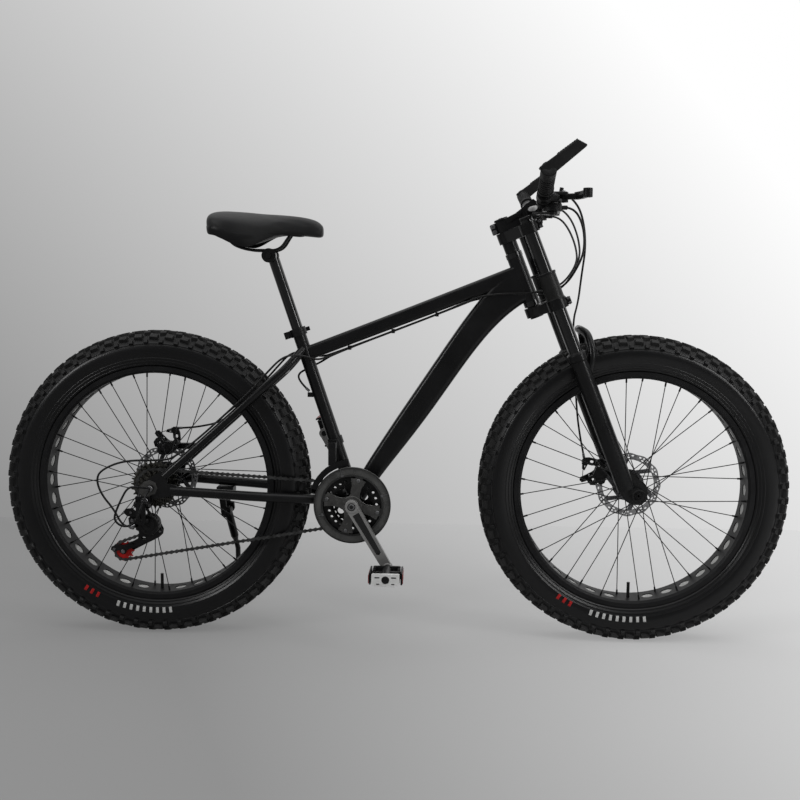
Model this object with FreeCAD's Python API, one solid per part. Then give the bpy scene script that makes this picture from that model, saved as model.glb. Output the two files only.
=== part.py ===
"""Fat tire bicycle, millimetres, +X forward, +Y to the rider's left, +Z up.

The origin lies on the ground, midway between the two wheel axles.
"""
import FreeCAD, Part
import math
import os

V = FreeCAD.Vector

# Driving dimensions: wheels
TIRE_R = 372.5
TIRE_HALF_WIDTH = 50.5
TREAD_DEPTH = 7.0
TREAD_PITCHES = 60
WHEELBASE = 1154.0
RIM_FLANGE_R = 287.0
RIM_BED_R = 270.5
RIM_WALL = 3.0
RIM_HALF_WIDTH = 40.0
SPOKE_COUNT = 36
SPOKE_R = 1.1
ROTOR_R = 80.0
AXLE_R = 5.0
AXLE_BORE_R = 2.7
FRONT_DROPOUT_Y = 67.5
REAR_DROPOUT_Y = 85.0

# Driving dimensions: frame
BB_X, BB_Z = -96.0, 337.0
BB_HALF_WIDTH = 50.0
BB_SHELL_R = 21.0
HEAD_X, HEAD_Z = 304.0, 875.0
HEAD_ANGLE = 68.3
HEAD_HALF = 55.0
HEAD_TUBE_R = 19.0
HEAD_BORE_R = 17.0
SEAT_ANGLE = 71.2
SEAT_TUBE_R = 15.9
SEAT_TUBE_TOP = 436.0
SEATPOST_R = 13.6
CHAINSTAY_R = 11.5
SEATSTAY_R = 9.5

# Driving dimensions: fork, measured down the steering axis from the head tube's middle
FORK_LEG_Y = 84.0
FORK_LEG_OFFSET = 48.0
STANCHION_R = 16.0
LOWER_LEG_R = 21.0
LOWER_LEG_TOP = 214.0
STEERER_R = 14.3
UPPER_CROWN_S = -107.0
LOWER_CROWN_S = 81.0

# Driving dimensions: controls
BAR_FORWARD = 70.5
STEM_TOP = 147.0
BAR_S = -142.0
BAR_R = 11.1
GRIP_INNER_Y = 240.0
BAR_END_Y = 345.0

# Driving dimensions: drive train
CHAIN_PITCH = 12.7
CHAIN_Y = -63.0
CHAIN_LINKS = 120
RING_TEETH = (24, 34, 42)
RING_STEP = 7.0
COG_TEETH = (28, 24, 22, 20, 18, 16, 14)
COG_STEP = 5.0
CHAIN_RING_TEETH = 24
CHAIN_COG_TEETH = 20
PULLEY_TEETH = 11
UPPER_PULLEY = (-602.0, 279.0)
CAGE_LENGTH = 84.0
CAGE_SEARCH = (205.0, 260.0)
SPROCKET_HALF = 0.95
CRANK_LENGTH = 170.0
CRANK_ANGLE = -59.5
PEDAL_INNER_Y = 112.0
SPIDER_ANGLE = 44.5

# Tube sections as x, z, width, height and lean in degrees
DOWN_TUBE = ((-90, 345, 40, 43, 56), (-51.5, 406, 42, 45, 56), (92, 614, 46, 60, 56), (175, 735, 46, 64, 56),
             (232, 805, 42, 72, 49), (300, 862, 32, 84, 37))
TOP_TUBE_SLOPE = 0.39
TOP_TUBE = ((-207, 694, 27, 34, 21.3), (59, 797.8, 35, 35, 21.3), (297, 890.6, 32, 40, 21.3))

# Rear triangle on the right-hand side, as points of the tube axes and plate outlines
CHAINSTAY = ((-110, -38, 340), (-160, -45, 342), (-212, -62, 346), (-320, -80, 353), (-530, -89.5, 366))
SEATSTAY = ((-222, -12, 703), (-262, -50, 655), (-335, -76, 590), (-545, -89.5, 400))
DROPOUT = ((-592, 386), (-578, 398), (-553, 413), (-534, 403), (-538, 384), (-515, 378), (-515, 355),
           (-545, 350), (-572, 346), (-592, 356))
HANGER = ((-572, 350), (-594, 358), (-602, 344), (-598, 330), (-586, 326), (-576, 334))
HANGER_PIVOT = (-590.0, 341.0)

# Saddle sections as x, half width, bottom and top
SADDLE_SECTIONS = ((-447, 48, 990, 1016), (-426, 76, 972, 1031), (-385, 80, 954, 1028), (-350, 70, 946, 1025),
                   (-312, 52, 961, 1021), (-276, 38, 975, 1020), (-225, 26, 973, 1019), (-178, 18, 974, 1003))
SADDLE_PIVOT = (-302.0, 926.0)
RAIL_Z = 938.0

# Bar bend and end, lever blade and bar-end horn
BAR_BEND = (334.5, 122.0, 1030.5)
BAR_END = (326.0, 1098.0)
LEVER_PIVOT = (374.0, -196.0, 1053.0)
LEVER_BLADE = ((400, -208, 1053), (409, -238, 1055), (414, -278, 1056), (411, -312, 1055))
POD_CENTRE = (352.0, -172.0, 1024.0)
HORN = ((305, 1101), (383, 1158.5), (405, 1147), (340, 1092), (322, 1089))

# Derailleur pivots
FD_GUIDE = (-146.0, 474.0)
RD_UPPER_LINK = (-595.0, -109.5, 336.0)
RD_LOWER_LINK = (-595.0, -111.5, 297.0)
CAGE_OUTLINE = ((-610, 290), (-596, 296), (-578, 292), (-562, 280), (-555, 264), (-560, 251), (-578, 240),
                (-600, 229), (-626, 216), (-645, 203), (-660, 202), (-676, 208), (-683, 216), (-677, 224),
                (-655, 227), (-632, 234), (-612, 244), (-616, 262), (-616, 280))

# Brake calipers, from the axle outwards and along the rotor
CABLE_STOP = (122, -19)
STOP_BRACKET = ((90, -22), (112, -28), (126, -22), (126, -12), (119, -10), (119, 4), (112, 6), (110, -12),
                (97, -9), (90, -10))
CALIPER_ARM = ((67, -9), (85, -9), (106, 18), (114, 28), (108, 36), (99, 32), (67, 9))

# Stand
STAND_PIVOT = (-429.0, 95.0, 282.0)
STAND_AXIS = (0.1415, 0.9203, 0.3647)
STAND_LEG = (0.1447, 0.3453, -0.9273)
STAND_FOOT = (-422.0, 198.0, 6.0)
STAND_TOP = 347.0

# Cable routes along their middle lines
CABLE_R = 2.5
REAR_CABLES = (
    ((383, -161.9, 1033), (402, -159, 1032), (424, -140, 1000), (434, -112, 955), (429, -90, 915),
     (395, -46, 852), (331, -34, 843), (205, -30, 838), (150, -8, 808.4), (-150, -8, 691.4),
     (-185, -24, 676), (-222, -34, 690), (-262, -60, 690),
     (-300, -78, 650), (-344, -80, 600), (-515, -92, 444), (-560, -97, 440), (-640, -97, 439),
     (-697, -97, 414), (-706, -97, 388), (-693, -97, 354), (-665, -97, 320), (-647, -97, 284),
     (-627, -99, 278), (-614, -99, 284)),
    ((383, 161.9, 1033), (402, 159, 1032), (425, 137, 1003), (440, 95, 955), (440, 62, 912),
     (398, 46, 856), (331, 34, 843), (205, 30, 838), (150, 0, 808.4), (-150, 0, 691.4),
     (-178, 20, 672), (-212, 26, 655), (-240, 14, 640),
     (-228, 0, 618), (-208, 0, 600)),
    ((388.9, 164.2, 1055.2), (397, 146, 1056.8), (428, 128, 1030), (447, 100, 975), (448, 72, 920),
     (402, 54, 846), (331, 42, 834), (200, 37, 830), (150, 8, 808.4), (-150, 8, 691.4),
     (-185, 26, 682), (-222, 36, 692), (-262, 60, 690),
     (-300, 78, 650), (-344, 80, 600), (-400, 88, 545), (-446, 93, 508), (-500, 86, 497), (-530, 78, 495),
     (-551.3, 77, 494.3)),
)
FRONT_BRAKE_CABLE = (
    (388.9, -164.2, 1055.2), (397, -146, 1056.8), (424, -126, 1025), (440, -90, 955), (440, -20, 885),
    (444, 60, 820), (438, 114, 770), (448, 118, 640), (455, 112, 540), (461, 84, 484), (466, 62.5, 452),
    (469, 61, 434.8))

FRONT_X = WHEELBASE / 2
REAR_X = -WHEELBASE / 2
FIT = 0.05


# Placement helpers

def rotation_y(angle):
    return FreeCAD.Rotation(V(0, 1, 0), angle)


STEER = FreeCAD.Placement(V(HEAD_X, 0, HEAD_Z), rotation_y(HEAD_ANGLE - 90))
SEAT = FreeCAD.Placement(V(BB_X, 0, BB_Z), rotation_y(SEAT_ANGLE - 90))
CRANK = FreeCAD.Placement(V(BB_X, 0, BB_Z), rotation_y(-CRANK_ANGLE))


def placed(shape, placement):
    copy = shape.copy()
    copy.Placement = placement.multiply(copy.Placement)
    return copy


def moved(shape, x=0.0, y=0.0, z=0.0):
    return placed(shape, FreeCAD.Placement(V(x, y, z), FreeCAD.Rotation()))


def turned_y(shape, angle, centre=V(0, 0, 0)):
    turn = FreeCAD.Placement(V(0, 0, 0), rotation_y(angle), centre)
    return placed(shape, turn)


def mirrored(shape):
    return shape.mirror(V(0, 0, 0), V(0, 1, 0))


def both_sides(shape):
    return [shape, mirrored(shape)]


# Solid helpers

def rod(start, end, radius):
    axis = end.sub(start)
    return Part.makeCylinder(radius, axis.Length, start, axis)


def taper(start, end, radius_start, radius_end):
    axis = end.sub(start)
    return Part.makeCone(radius_start, radius_end, axis.Length, start, axis)


def ring(start, end, outer, inner):
    return rod(start, end, outer).cut(rod(start, end, inner))


def rod_y(x, z, y0, y1, radius):
    return rod(V(x, y0, z), V(x, y1, z), radius)


def ring_y(x, z, y0, y1, outer, inner):
    return ring(V(x, y0, z), V(x, y1, z), outer, inner)


def block(x0, x1, y0, y1, z0, z1):
    return Part.makeBox(x1 - x0, y1 - y0, z1 - z0, V(x0, y0, z0))


def union(*shapes):
    return shapes[0].fuse(list(shapes[1:])).removeSplitter()


def plate_y(points, y0, y1):
    """A plate with straight edges in the XZ plane, from y0 to y1."""
    corners = [V(x, y0, z) for x, z in points]
    face = Part.Face(Part.makePolygon(corners + corners[:1]))
    return face.extrude(V(0, y1 - y0, 0))


def rounded_section(centre, width, height, corner, along):
    """A rounded rectangle, width across Y and height at right angles to along."""
    up = along.cross(V(0, 1, 0)).normalize()
    half_w, half_h = width / 2 - corner, height / 2 - corner
    edges = []
    previous = first = None
    for quarter, (sw, sh) in enumerate([(1, 1), (-1, 1), (-1, -1), (1, -1)]):
        arc = []
        for part in (0, 1, 2):
            angle = math.radians(90 * quarter + 45 * part)
            across = sw * half_w + corner * math.cos(angle)
            rise = sh * half_h + corner * math.sin(angle)
            arc.append(centre + V(0, across, 0) + up * rise)
        if previous:
            edges.append(Part.LineSegment(previous, arc[0]).toShape())
        first = first or arc[0]
        edges.append(Part.Arc(*arc).toShape())
        previous = arc[2]
    edges.append(Part.LineSegment(previous, first).toShape())
    return Part.Wire(edges)


def revolve_y(profile, angle=360.0):
    """Turns a closed wire of the YZ plane about the Y axis."""
    return Part.Face(profile).revolve(V(0, 0, 0), V(0, 1, 0), angle)


def profile_wire(steps):
    """A closed YZ wire from (y, r) points; a step of two points is an arc through the first."""
    edges = []
    start = current = V(0, steps[0][0], steps[0][1])
    for step in steps[1:]:
        if len(step) == 4:
            middle, end = V(0, step[0], step[1]), V(0, step[2], step[3])
            edges.append(Part.Arc(current, middle, end).toShape())
        else:
            end = V(0, step[0], step[1])
            edges.append(Part.LineSegment(current, end).toShape())
        current = end
    if current.distanceToPoint(start) > FIT:
        edges.append(Part.LineSegment(current, start).toShape())
    return Part.Wire(edges)


def routed_path(points):
    """Straight runs between points, joined by tangent arcs as large as the runs allow."""
    reach = 0.45
    edges = []
    current = points[0]
    for before, corner, after in zip(points, points[1:], points[2:]):
        towards, away = corner.sub(before), after.sub(corner)
        trim = reach * min(towards.Length, away.Length)
        towards.normalize()
        away.normalize()
        half_turn = towards.getAngle(away) / 2
        radius = trim / math.tan(half_turn)
        inward = (away - towards).normalize()
        start, end = corner - towards * trim, corner + away * trim
        middle = corner + inward * (radius / math.cos(half_turn) - radius)
        edges.append(Part.LineSegment(current, start).toShape())
        edges.append(Part.Arc(start, middle, end).toShape())
        current = end
    edges.append(Part.LineSegment(current, points[-1]).toShape())
    return Part.Wire(edges)


def routed_tube(points, radius):
    path = routed_path(points)
    circle = Part.Circle(points[0], points[1].sub(points[0]), radius).toShape()
    return path.makePipeShell([Part.Wire([circle])], True, False)


def hex_nut(x, z, y0, y1, across_flats, bore):
    corner = across_flats / math.sqrt(3)
    points = [(x + corner * math.cos(k * math.pi / 3), z + corner * math.sin(k * math.pi / 3))
              for k in range(6)]
    nut = plate_y(points, y0, y1)
    return nut.cut(rod_y(x, z, y0, y1, bore)) if bore else nut


# Sprockets and chain

def pitch_radius(teeth):
    return CHAIN_PITCH / (2 * math.sin(math.pi / teeth))


def sprocket(teeth, bore, half=SPROCKET_HALF):
    """A toothed plate about the Y axis with a tooth gap on the +X axis."""
    roller_seat, tip_half, tip_height = 4.0, 1.1, 3.0
    gap_open = math.radians(62)
    radius = pitch_radius(teeth)
    step = 2 * math.pi / teeth
    edges = []

    def polar(r, angle):
        return V(r * math.cos(angle), -half, r * math.sin(angle))

    def seat_point(angle, lean):
        centre = polar(radius, angle)
        inward = angle + math.pi + lean
        return centre + V(roller_seat * math.cos(inward), 0, roller_seat * math.sin(inward))

    tip_turn = tip_half / (radius + tip_height)
    for index in range(teeth):
        angle = index * step
        start, end = seat_point(angle, gap_open), seat_point(angle, -gap_open)
        edges.append(Part.Arc(start, seat_point(angle, 0.0), end).toShape())
        tip_angle = angle + step / 2
        tip_a = polar(radius + tip_height, tip_angle - tip_turn)
        tip_b = polar(radius + tip_height, tip_angle + tip_turn)
        edges.append(Part.LineSegment(end, tip_a).toShape())
        edges.append(Part.LineSegment(tip_a, tip_b).toShape())
        edges.append(Part.LineSegment(tip_b, seat_point(angle + step, gap_open)).toShape())
    plate = Part.Face(Part.Wire(edges)).extrude(V(0, 2 * half, 0))
    return plate.cut(rod_y(0, 0, -2 * half, 2 * half, bore))


def tangent_run(first, second):
    """End points of the straight chain run between two pitch circles (x, z, radius, turn)."""
    x1, z1, r1, turn1 = first
    x2, z2, r2, turn2 = second
    span = math.hypot(x2 - x1, z2 - z1)
    heading = math.atan2(z2 - z1, x2 - x1) - math.asin((turn1 * r1 - turn2 * r2) / span)
    nx, nz = -math.sin(heading), math.cos(heading)
    leave = (x1 + turn1 * r1 * nx, z1 + turn1 * r1 * nz)
    arrive = (x2 + turn2 * r2 * nx, z2 + turn2 * r2 * nz)
    return leave, arrive


def chain_loop(circles):
    """The closed chain line as runs and arcs, each with its length and a point function."""
    count = len(circles)
    runs = [tangent_run(circles[k], circles[(k + 1) % count]) for k in range(count)]
    pieces = []
    for index, (cx, cz, radius, turn) in enumerate(circles):
        arrive, leave = runs[index - 1][1], runs[index][0]
        begin = math.atan2(arrive[1] - cz, arrive[0] - cx)
        sweep = (begin - math.atan2(leave[1] - cz, leave[0] - cx)) * turn % (2 * math.pi)
        pieces.append(("arc", radius * sweep, (cx, cz, radius, turn, begin)))
        goal = runs[index][1]
        pieces.append(("run", math.dist(leave, goal), (leave, goal)))
    return pieces


def loop_point(pieces, distance):
    distance %= sum(piece[1] for piece in pieces)
    for kind, length, data in pieces:
        if distance <= length:
            break
        distance -= length
    if kind == "arc":
        cx, cz, radius, turn, begin = data
        angle = begin - turn * distance / radius
        return cx + radius * math.cos(angle), cz + radius * math.sin(angle)
    (x1, z1), (x2, z2) = data
    share = distance / length
    return x1 + share * (x2 - x1), z1 + share * (z2 - z1)


def walk_pins(pieces, links):
    """Steps along the loop one pitch at a time, and returns the pins and the distance walked."""
    distance = 0.0
    pins = [loop_point(pieces, distance)]
    for _ in range(links):
        step = CHAIN_PITCH
        for _ in range(6):
            reached = math.dist(pins[-1], loop_point(pieces, distance + step))
            step += CHAIN_PITCH - reached
        distance += step
        pins.append(loop_point(pieces, distance))
    return pins, distance


def drive_circles(cage_angle):
    cage = math.radians(cage_angle)
    lower_x = UPPER_PULLEY[0] + CAGE_LENGTH * math.cos(cage)
    lower_z = UPPER_PULLEY[1] + CAGE_LENGTH * math.sin(cage)
    pulley = pitch_radius(PULLEY_TEETH)
    return [(BB_X, BB_Z, pitch_radius(CHAIN_RING_TEETH), 1),
            (lower_x, lower_z, pulley, 1),
            (UPPER_PULLEY[0], UPPER_PULLEY[1], pulley, -1),
            (REAR_X, TIRE_R, pitch_radius(CHAIN_COG_TEETH), 1)]


def close_chain():
    """Swings the derailleur cage until a whole number of links closes the loop."""
    low, high = CAGE_SEARCH
    for _ in range(40):
        cage_angle = (low + high) / 2
        pieces = chain_loop(drive_circles(cage_angle))
        pins, walked = walk_pins(pieces, CHAIN_LINKS)
        if walked < sum(piece[1] for piece in pieces):
            low = cage_angle
        else:
            high = cage_angle
    return cage_angle, pins[:-1]


# Wheels, built about the origin with the axle along Y

def tire():
    r = TIRE_R
    half = [(18, r), (24, r - 1.5), (24.5, r - 7.5), (29, r - 9), (29.5, r - 4),
            (38, r - 9), (45, r - 17), (49.5, r - 28)]
    left = [(y, radius) for y, radius in half]
    right = [(-y, radius) for y, radius in reversed(half)]
    wall_r, neck_r, bead_r = 326.0, RIM_FLANGE_R + 2.5, RIM_BED_R + 7
    bead_y = RIM_HALF_WIDTH - 3.4
    steps = right + left
    steps += [(TIRE_HALF_WIDTH, wall_r, RIM_HALF_WIDTH + 1, neck_r), (bead_y, neck_r - 2), (bead_y, bead_r)]
    steps += [(31, bead_r), (32, neck_r + 1), (46.5, wall_r, 41, r - 25), (14, r - 11)]
    steps += [(-14, r - 11), (-41, r - 25), (-46.5, wall_r, -32, neck_r + 1), (-31, bead_r)]
    steps += [(-bead_y, bead_r), (-bead_y, neck_r - 2), (-RIM_HALF_WIDTH - 1, neck_r)]
    steps += [(-TIRE_HALF_WIDTH, wall_r, -49.5, r - 28)]
    casing = revolve_y(profile_wire(steps))
    d = TREAD_DEPTH
    groove = [(6, r + 3), (6, r - d), (18, r - d), (38, r - 9 - d), (45, r - 17 - d)]
    groove += [(52, r - 26), (60, r - 20), (60, r + 3)]
    pitch = 360.0 / TREAD_PITCHES
    slot = revolve_y(profile_wire(groove), pitch / 3)
    cutters = []
    for index in range(TREAD_PITCHES):
        cutters.append(turned_y(slot, index * pitch))
        cutters.append(turned_y(mirrored(slot), (index + 0.5) * pitch))
    return casing.cut(Part.makeCompound(cutters))


def rim():
    bed, wall, flange, w = RIM_BED_R, RIM_WALL, RIM_FLANGE_R, RIM_HALF_WIDTH
    half = [(33, bed + wall), (37, bed + wall + 2.5), (37.4, flange), (w, flange), (w, bed + 5.5), (35, bed)]
    steps = half + [(-y, radius) for y, radius in reversed(half)]
    hoop = revolve_y(profile_wire(steps))
    cutout = rod(V(bed - 8, 0, 0), V(bed + 9, 0, 0), 14)
    pitch = 360.0 / SPOKE_COUNT
    holes = [turned_y(cutout, 90 + index * pitch) for index in range(1, SPOKE_COUNT)]
    holes.append(rod(V(0, 0, -bed + 8), V(0, 0, -bed - 9), 4.2))
    strip = ring_y(0, 0, -20, 20, bed + wall + 1, bed + wall + FIT).cut(holes[-1])
    return [hoop.cut(Part.makeCompound(holes)), strip]


def inner_tube():
    middle_r, section_r, skin = 321.0, 38.0, 1.5
    axis = V(0, 1, 0)
    tube = Part.makeTorus(middle_r, section_r, V(0, 0, 0), axis)
    tube = tube.cut(Part.makeTorus(middle_r, section_r - skin, V(0, 0, 0), axis))
    base_r = middle_r - section_r + 1
    valve = rod(V(0, 0, -base_r), V(0, 0, -base_r + 50), 3.85)
    return tube.fuse(valve)


def spokes(right_flange, left_flange, flange_hole_r):
    crossing, rim_y, nipple = 60.0, 20.0, 12.0
    end_r = RIM_BED_R + 1.5
    pitch = 360.0 / SPOKE_COUNT
    wires = []
    for index in range(SPOKE_COUNT):
        side_y = right_flange if index % 2 else left_flange
        lead = 1 if index % 4 < 2 else -1
        rim_angle = math.radians((index + 0.5) * pitch)
        hub_angle = rim_angle + lead * math.radians(crossing)
        hub_y = side_y + lead * 1.4
        hub_end = V(flange_hole_r * math.cos(hub_angle), hub_y, flange_hole_r * math.sin(hub_angle))
        side = math.copysign(rim_y, side_y)
        rim_end = V(end_r * math.cos(rim_angle), side, end_r * math.sin(rim_angle))
        direction = (rim_end - hub_end).normalize()
        wire = rod(hub_end, rim_end, SPOKE_R)
        wires.append(wire.fuse(rod(rim_end - direction * nipple, rim_end, 2 * SPOKE_R)))
    return wires


def hub(right_flange, left_flange, left_end, spigot_end, spigot_r):
    flange_r, shell_r, bearing_r, bearing_w = 31.0, 16.0, 12.0, 10.0
    shell = union(rod_y(0, 0, right_flange, left_flange, shell_r),
                  rod_y(0, 0, right_flange - 1.8, right_flange + 1.8, flange_r),
                  rod_y(0, 0, left_flange - 1.8, left_flange + 1.8, flange_r),
                  rod_y(0, 0, right_flange, spigot_end, spigot_r),
                  rod_y(0, 0, left_flange, left_end, 17.0))
    shell = shell.cut(rod_y(0, 0, spigot_end - 1, left_end + 1, 8))
    shell = shell.cut(rod_y(0, 0, spigot_end - 1, spigot_end + bearing_w, bearing_r + FIT))
    shell = shell.cut(rod_y(0, 0, left_end - bearing_w, left_end + 1, bearing_r + FIT))
    bearings = [ring_y(0, 0, spigot_end, spigot_end + bearing_w - 0.1, bearing_r, AXLE_R + FIT),
                ring_y(0, 0, left_end - bearing_w + 0.1, left_end, bearing_r, AXLE_R + FIT)]
    return [shell] + bearings


def rotor(y):
    half, inner_r, carrier_r = 0.9, ROTOR_R - 15, 27.0
    y0, y1 = y - half, y + half
    disc = ring_y(0, 0, y0, y1, ROTOR_R, inner_r)
    parts = [ring_y(0, 0, y0, y1, carrier_r, 17.2)]
    arm = plate_y([(carrier_r - 4, -4), (carrier_r - 4, 4), (inner_r + 3, 26), (inner_r + 4, 18)], y0, y1)
    parts += [turned_y(arm, 60 * k) for k in range(6)]
    plate = disc.fuse(parts)
    holes = []
    for k in range(24):
        radius = ROTOR_R - (4.5 if k % 2 else 10)
        holes.append(turned_y(rod_y(radius, 0, y0 - 1, y1 + 1, 2.6), 15 * k))
    plate = plate.cut(Part.makeCompound(holes))
    bolts = [turned_y(rod_y(22, 0, y1 + FIT, y1 + 3, 3.8), 60 * k + 30) for k in range(6)]
    return [plate] + bolts


def axle(half_length, clamp_y, nut_width):
    """A hollow axle with cones against the bearings and nuts outside the dropouts."""
    bar = ring_y(0, 0, -half_length, half_length, AXLE_R, AXLE_BORE_R)
    nuts = []
    for side in (-1, 1):
        y0, y1 = sorted((side * (clamp_y + 0.1), side * (clamp_y + nut_width)))
        nuts.append(hex_nut(0, 0, y0, y1, 15, AXLE_R + FIT))
    return [bar] + nuts


def wheel_set(name, x, right_flange, left_flange, left_end, spigot_end, spigot_r, rotor_y):
    centre = FreeCAD.Placement(V(x, 0, TIRE_R), FreeCAD.Rotation())
    shell = hub(right_flange, left_flange, left_end, spigot_end, spigot_r)
    pieces = {"tire": [TIRE], "inner_tube": [inner_tube()], "rim": rim(), "hub": shell,
              "spokes": spokes(right_flange, left_flange, 27.0), "rotor": rotor(rotor_y)}
    for part, solids in pieces.items():
        save(name + "_" + part, [placed(solid, centre) for solid in solids])


# Frame

def head_rod(radius, half=HEAD_HALF):
    return placed(rod(V(0, 0, -half), V(0, 0, half), radius), STEER)


def seat_rod(radius, bottom, top):
    return placed(rod(V(0, 0, bottom), V(0, 0, top), radius), SEAT)


def loft_tube(sections, wall, corner):
    """A hollow tube through (x, z, width, height, lean) sections, lean in degrees from level."""
    shells = []
    for inset in (0.0, 2 * wall):
        wires = []
        for x, z, width, height, lean in sections:
            along = V(math.cos(math.radians(lean)), 0, math.sin(math.radians(lean)))
            round_by = corner - inset / 4
            wires.append(rounded_section(V(x, 0, z), width - inset, height - inset, round_by, along))
        shells.append(Part.makeLoft(wires, True, False))
    return shells


def main_frame():
    bb_rod = rod_y(BB_X, BB_Z, -BB_HALF_WIDTH, BB_HALF_WIDTH, BB_SHELL_R)
    shell = bb_rod.cut(rod_y(BB_X, BB_Z, -BB_HALF_WIDTH, BB_HALF_WIDTH, 17.0))
    seat_outer = seat_rod(SEAT_TUBE_R, 0, SEAT_TUBE_TOP)
    seat_tube = seat_outer.cut(seat_rod(SEATPOST_R + 0.1, 30, SEAT_TUBE_TOP)).cut(bb_rod)
    head_outer = head_rod(HEAD_TUBE_R)
    head_tube = head_outer.cut(head_rod(HEAD_BORE_R))
    down_outer, down_inner = loft_tube(DOWN_TUBE, 2.0, 12.0)
    top_outer, top_inner = loft_tube(TOP_TUBE, 1.8, 9.0)
    welded = down_outer.fuse(top_outer).cut(down_inner.fuse(top_inner))
    welded = welded.cut(head_outer).cut(bb_rod).cut(seat_outer)
    stop = block(-212, -196, -5, 5, 586, 597).cut(seat_outer)
    guides = [stop]
    for x in (100.0, -5.0, -110.0):
        z = 797.8 + (x - 59) * TOP_TUBE_SLOPE - 21.5
        guide = block(x - 4, x + 4, -13, 13, z - 8, z + 1.5)
        for y in (-8, 0, 8):
            rise = 30 * TOP_TUBE_SLOPE
            hole = rod(V(x - 30, y, z - 3.4 - rise), V(x + 30, y, z - 3.4 + rise), CABLE_R + 0.15)
            guide = guide.cut(hole)
        guides.append(guide.cut(top_outer))
    solids = [largest(solid) for solid in (shell, seat_tube, head_tube, welded)]
    return solids + [largest(guide) for guide in guides]


def largest(shape):
    return max(shape.Solids, key=lambda solid: solid.Volume)


def rear_triangle():
    bb_rod = rod_y(BB_X, BB_Z, -BB_HALF_WIDTH - 5, BB_HALF_WIDTH + 5, BB_SHELL_R)
    seat_outer = seat_rod(SEAT_TUBE_R, 0, SEAT_TUBE_TOP)
    y0, y1 = -REAR_DROPOUT_Y - 7, -REAR_DROPOUT_Y
    plate = plate_y(DROPOUT, y0, y1).cut(rod_y(REAR_X, TIRE_R, y0, y1, AXLE_R + 0.1))
    chainstay_path = [V(*point) for point in CHAINSTAY]
    seatstay_path = [V(*point) for point in SEATSTAY]
    stays = []
    for path, radius in ((chainstay_path, CHAINSTAY_R), (seatstay_path, SEATSTAY_R)):
        stay = routed_tube(path, radius).cut(routed_tube(path, radius - 1.8))
        stays.append(largest(stay.cut(bb_rod).cut(seat_outer).cut(plate)))
    hanger = plate_y(HANGER, y0, y1).cut(rod_y(HANGER_PIVOT[0], HANGER_PIVOT[1], y0, y1, 5.1))
    bridges = []
    for (x, z), half, radius in (((-268, 648), 60, 7.0), ((-160, 342), 60, 8.0)):
        bar = rod_y(x, z, -half, half, radius)
        for path, stay_r in ((chainstay_path, CHAINSTAY_R), (seatstay_path, SEATSTAY_R)):
            filled = routed_tube(path, stay_r)
            bar = bar.cut(filled).cut(mirrored(filled))
        bridges.append(min(bar.Solids, key=lambda solid: abs(solid.CenterOfMass.y)))
    right = [union(plate, hanger)] + stays
    left = [mirrored(solid) for solid in [plate] + stays]
    caliper_tab = block(-558, -488, 74.1, 86, 441, 456).cut(mirrored(routed_tube(seatstay_path, SEATSTAY_R)))
    caliper_tab = min(caliper_tab.Solids, key=lambda solid: solid.CenterOfMass.x)
    return right + left + bridges + [caliper_tab]


def headset():
    cups = []
    for sign in (-1, 1):
        def at(z):
            return V(0, 0, sign * z)
        lip = rod(at(HEAD_HALF), at(HEAD_HALF + 12), HEAD_TUBE_R + 1)
        cup = union(lip, rod(at(HEAD_HALF - 10), at(HEAD_HALF + 1), HEAD_BORE_R - FIT))
        cup = cup.cut(rod(at(HEAD_HALF - 11), at(HEAD_HALF + 13), STEERER_R + 0.6))
        cup = cup.cut(rod(at(HEAD_HALF + 3), at(HEAD_HALF + 13), 18.2))
        bearing = ring(at(HEAD_HALF + 3.1), at(HEAD_HALF + 11), 18.15, STEERER_R + 0.1)
        cups += [placed(cup, STEER), placed(bearing, STEER)]
    return cups


def bottom_bracket():
    cups = []
    y = BB_HALF_WIDTH
    for sign in (-1, 1):
        flange = ring_y(BB_X, BB_Z, *sorted((sign * (y + FIT), sign * (y + 4))), BB_SHELL_R - 0.1, 8.6)
        barrel = ring_y(BB_X, BB_Z, *sorted((sign * (y - 18), sign * (y + FIT))), 16.95, 8.6)
        cups.append(union(flange, barrel))
    return cups


# Seat

def seat_clamp():
    collar = ring(V(0, 0, SEAT_TUBE_TOP - 16), V(0, 0, SEAT_TUBE_TOP + 3), 19.5, SEAT_TUBE_R + FIT)
    lip = ring(V(0, 0, SEAT_TUBE_TOP + 0.1), V(0, 0, SEAT_TUBE_TOP + 3), 17.5, SEATPOST_R + 0.1)
    ears = block(-34, -17, -12, 12, SEAT_TUBE_TOP - 15, SEAT_TUBE_TOP + 2)
    ears = ears.cut(rod(V(0, 0, 0), V(0, 0, 500), SEAT_TUBE_R + FIT))
    body = union(collar, ears, lip).cut(block(-40, -10, -1.5, 1.5, 400, 450))
    bolt_z = SEAT_TUBE_TOP - 6
    body = body.cut(rod(V(-27, -20, bolt_z), V(-27, 20, bolt_z), 3.1))
    bolt = union(rod(V(-27, -15, bolt_z), V(-27, 12.2, bolt_z), 3.0),
                 rod(V(-27, -16, bolt_z), V(-27, -12.1, bolt_z), 6))
    return [placed(largest(body), SEAT), placed(bolt, SEAT)]


def seat_clamp_lever():
    bolt_z = SEAT_TUBE_TOP - 6
    cam = rod(V(-27, 18.6, bolt_z - 7), V(-27, 18.6, bolt_z + 7), 6)
    blade = block(-27, 26, 21, 24.6, bolt_z - 5, bolt_z + 5)
    return [placed(union(cam, blade), SEAT)]


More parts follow.
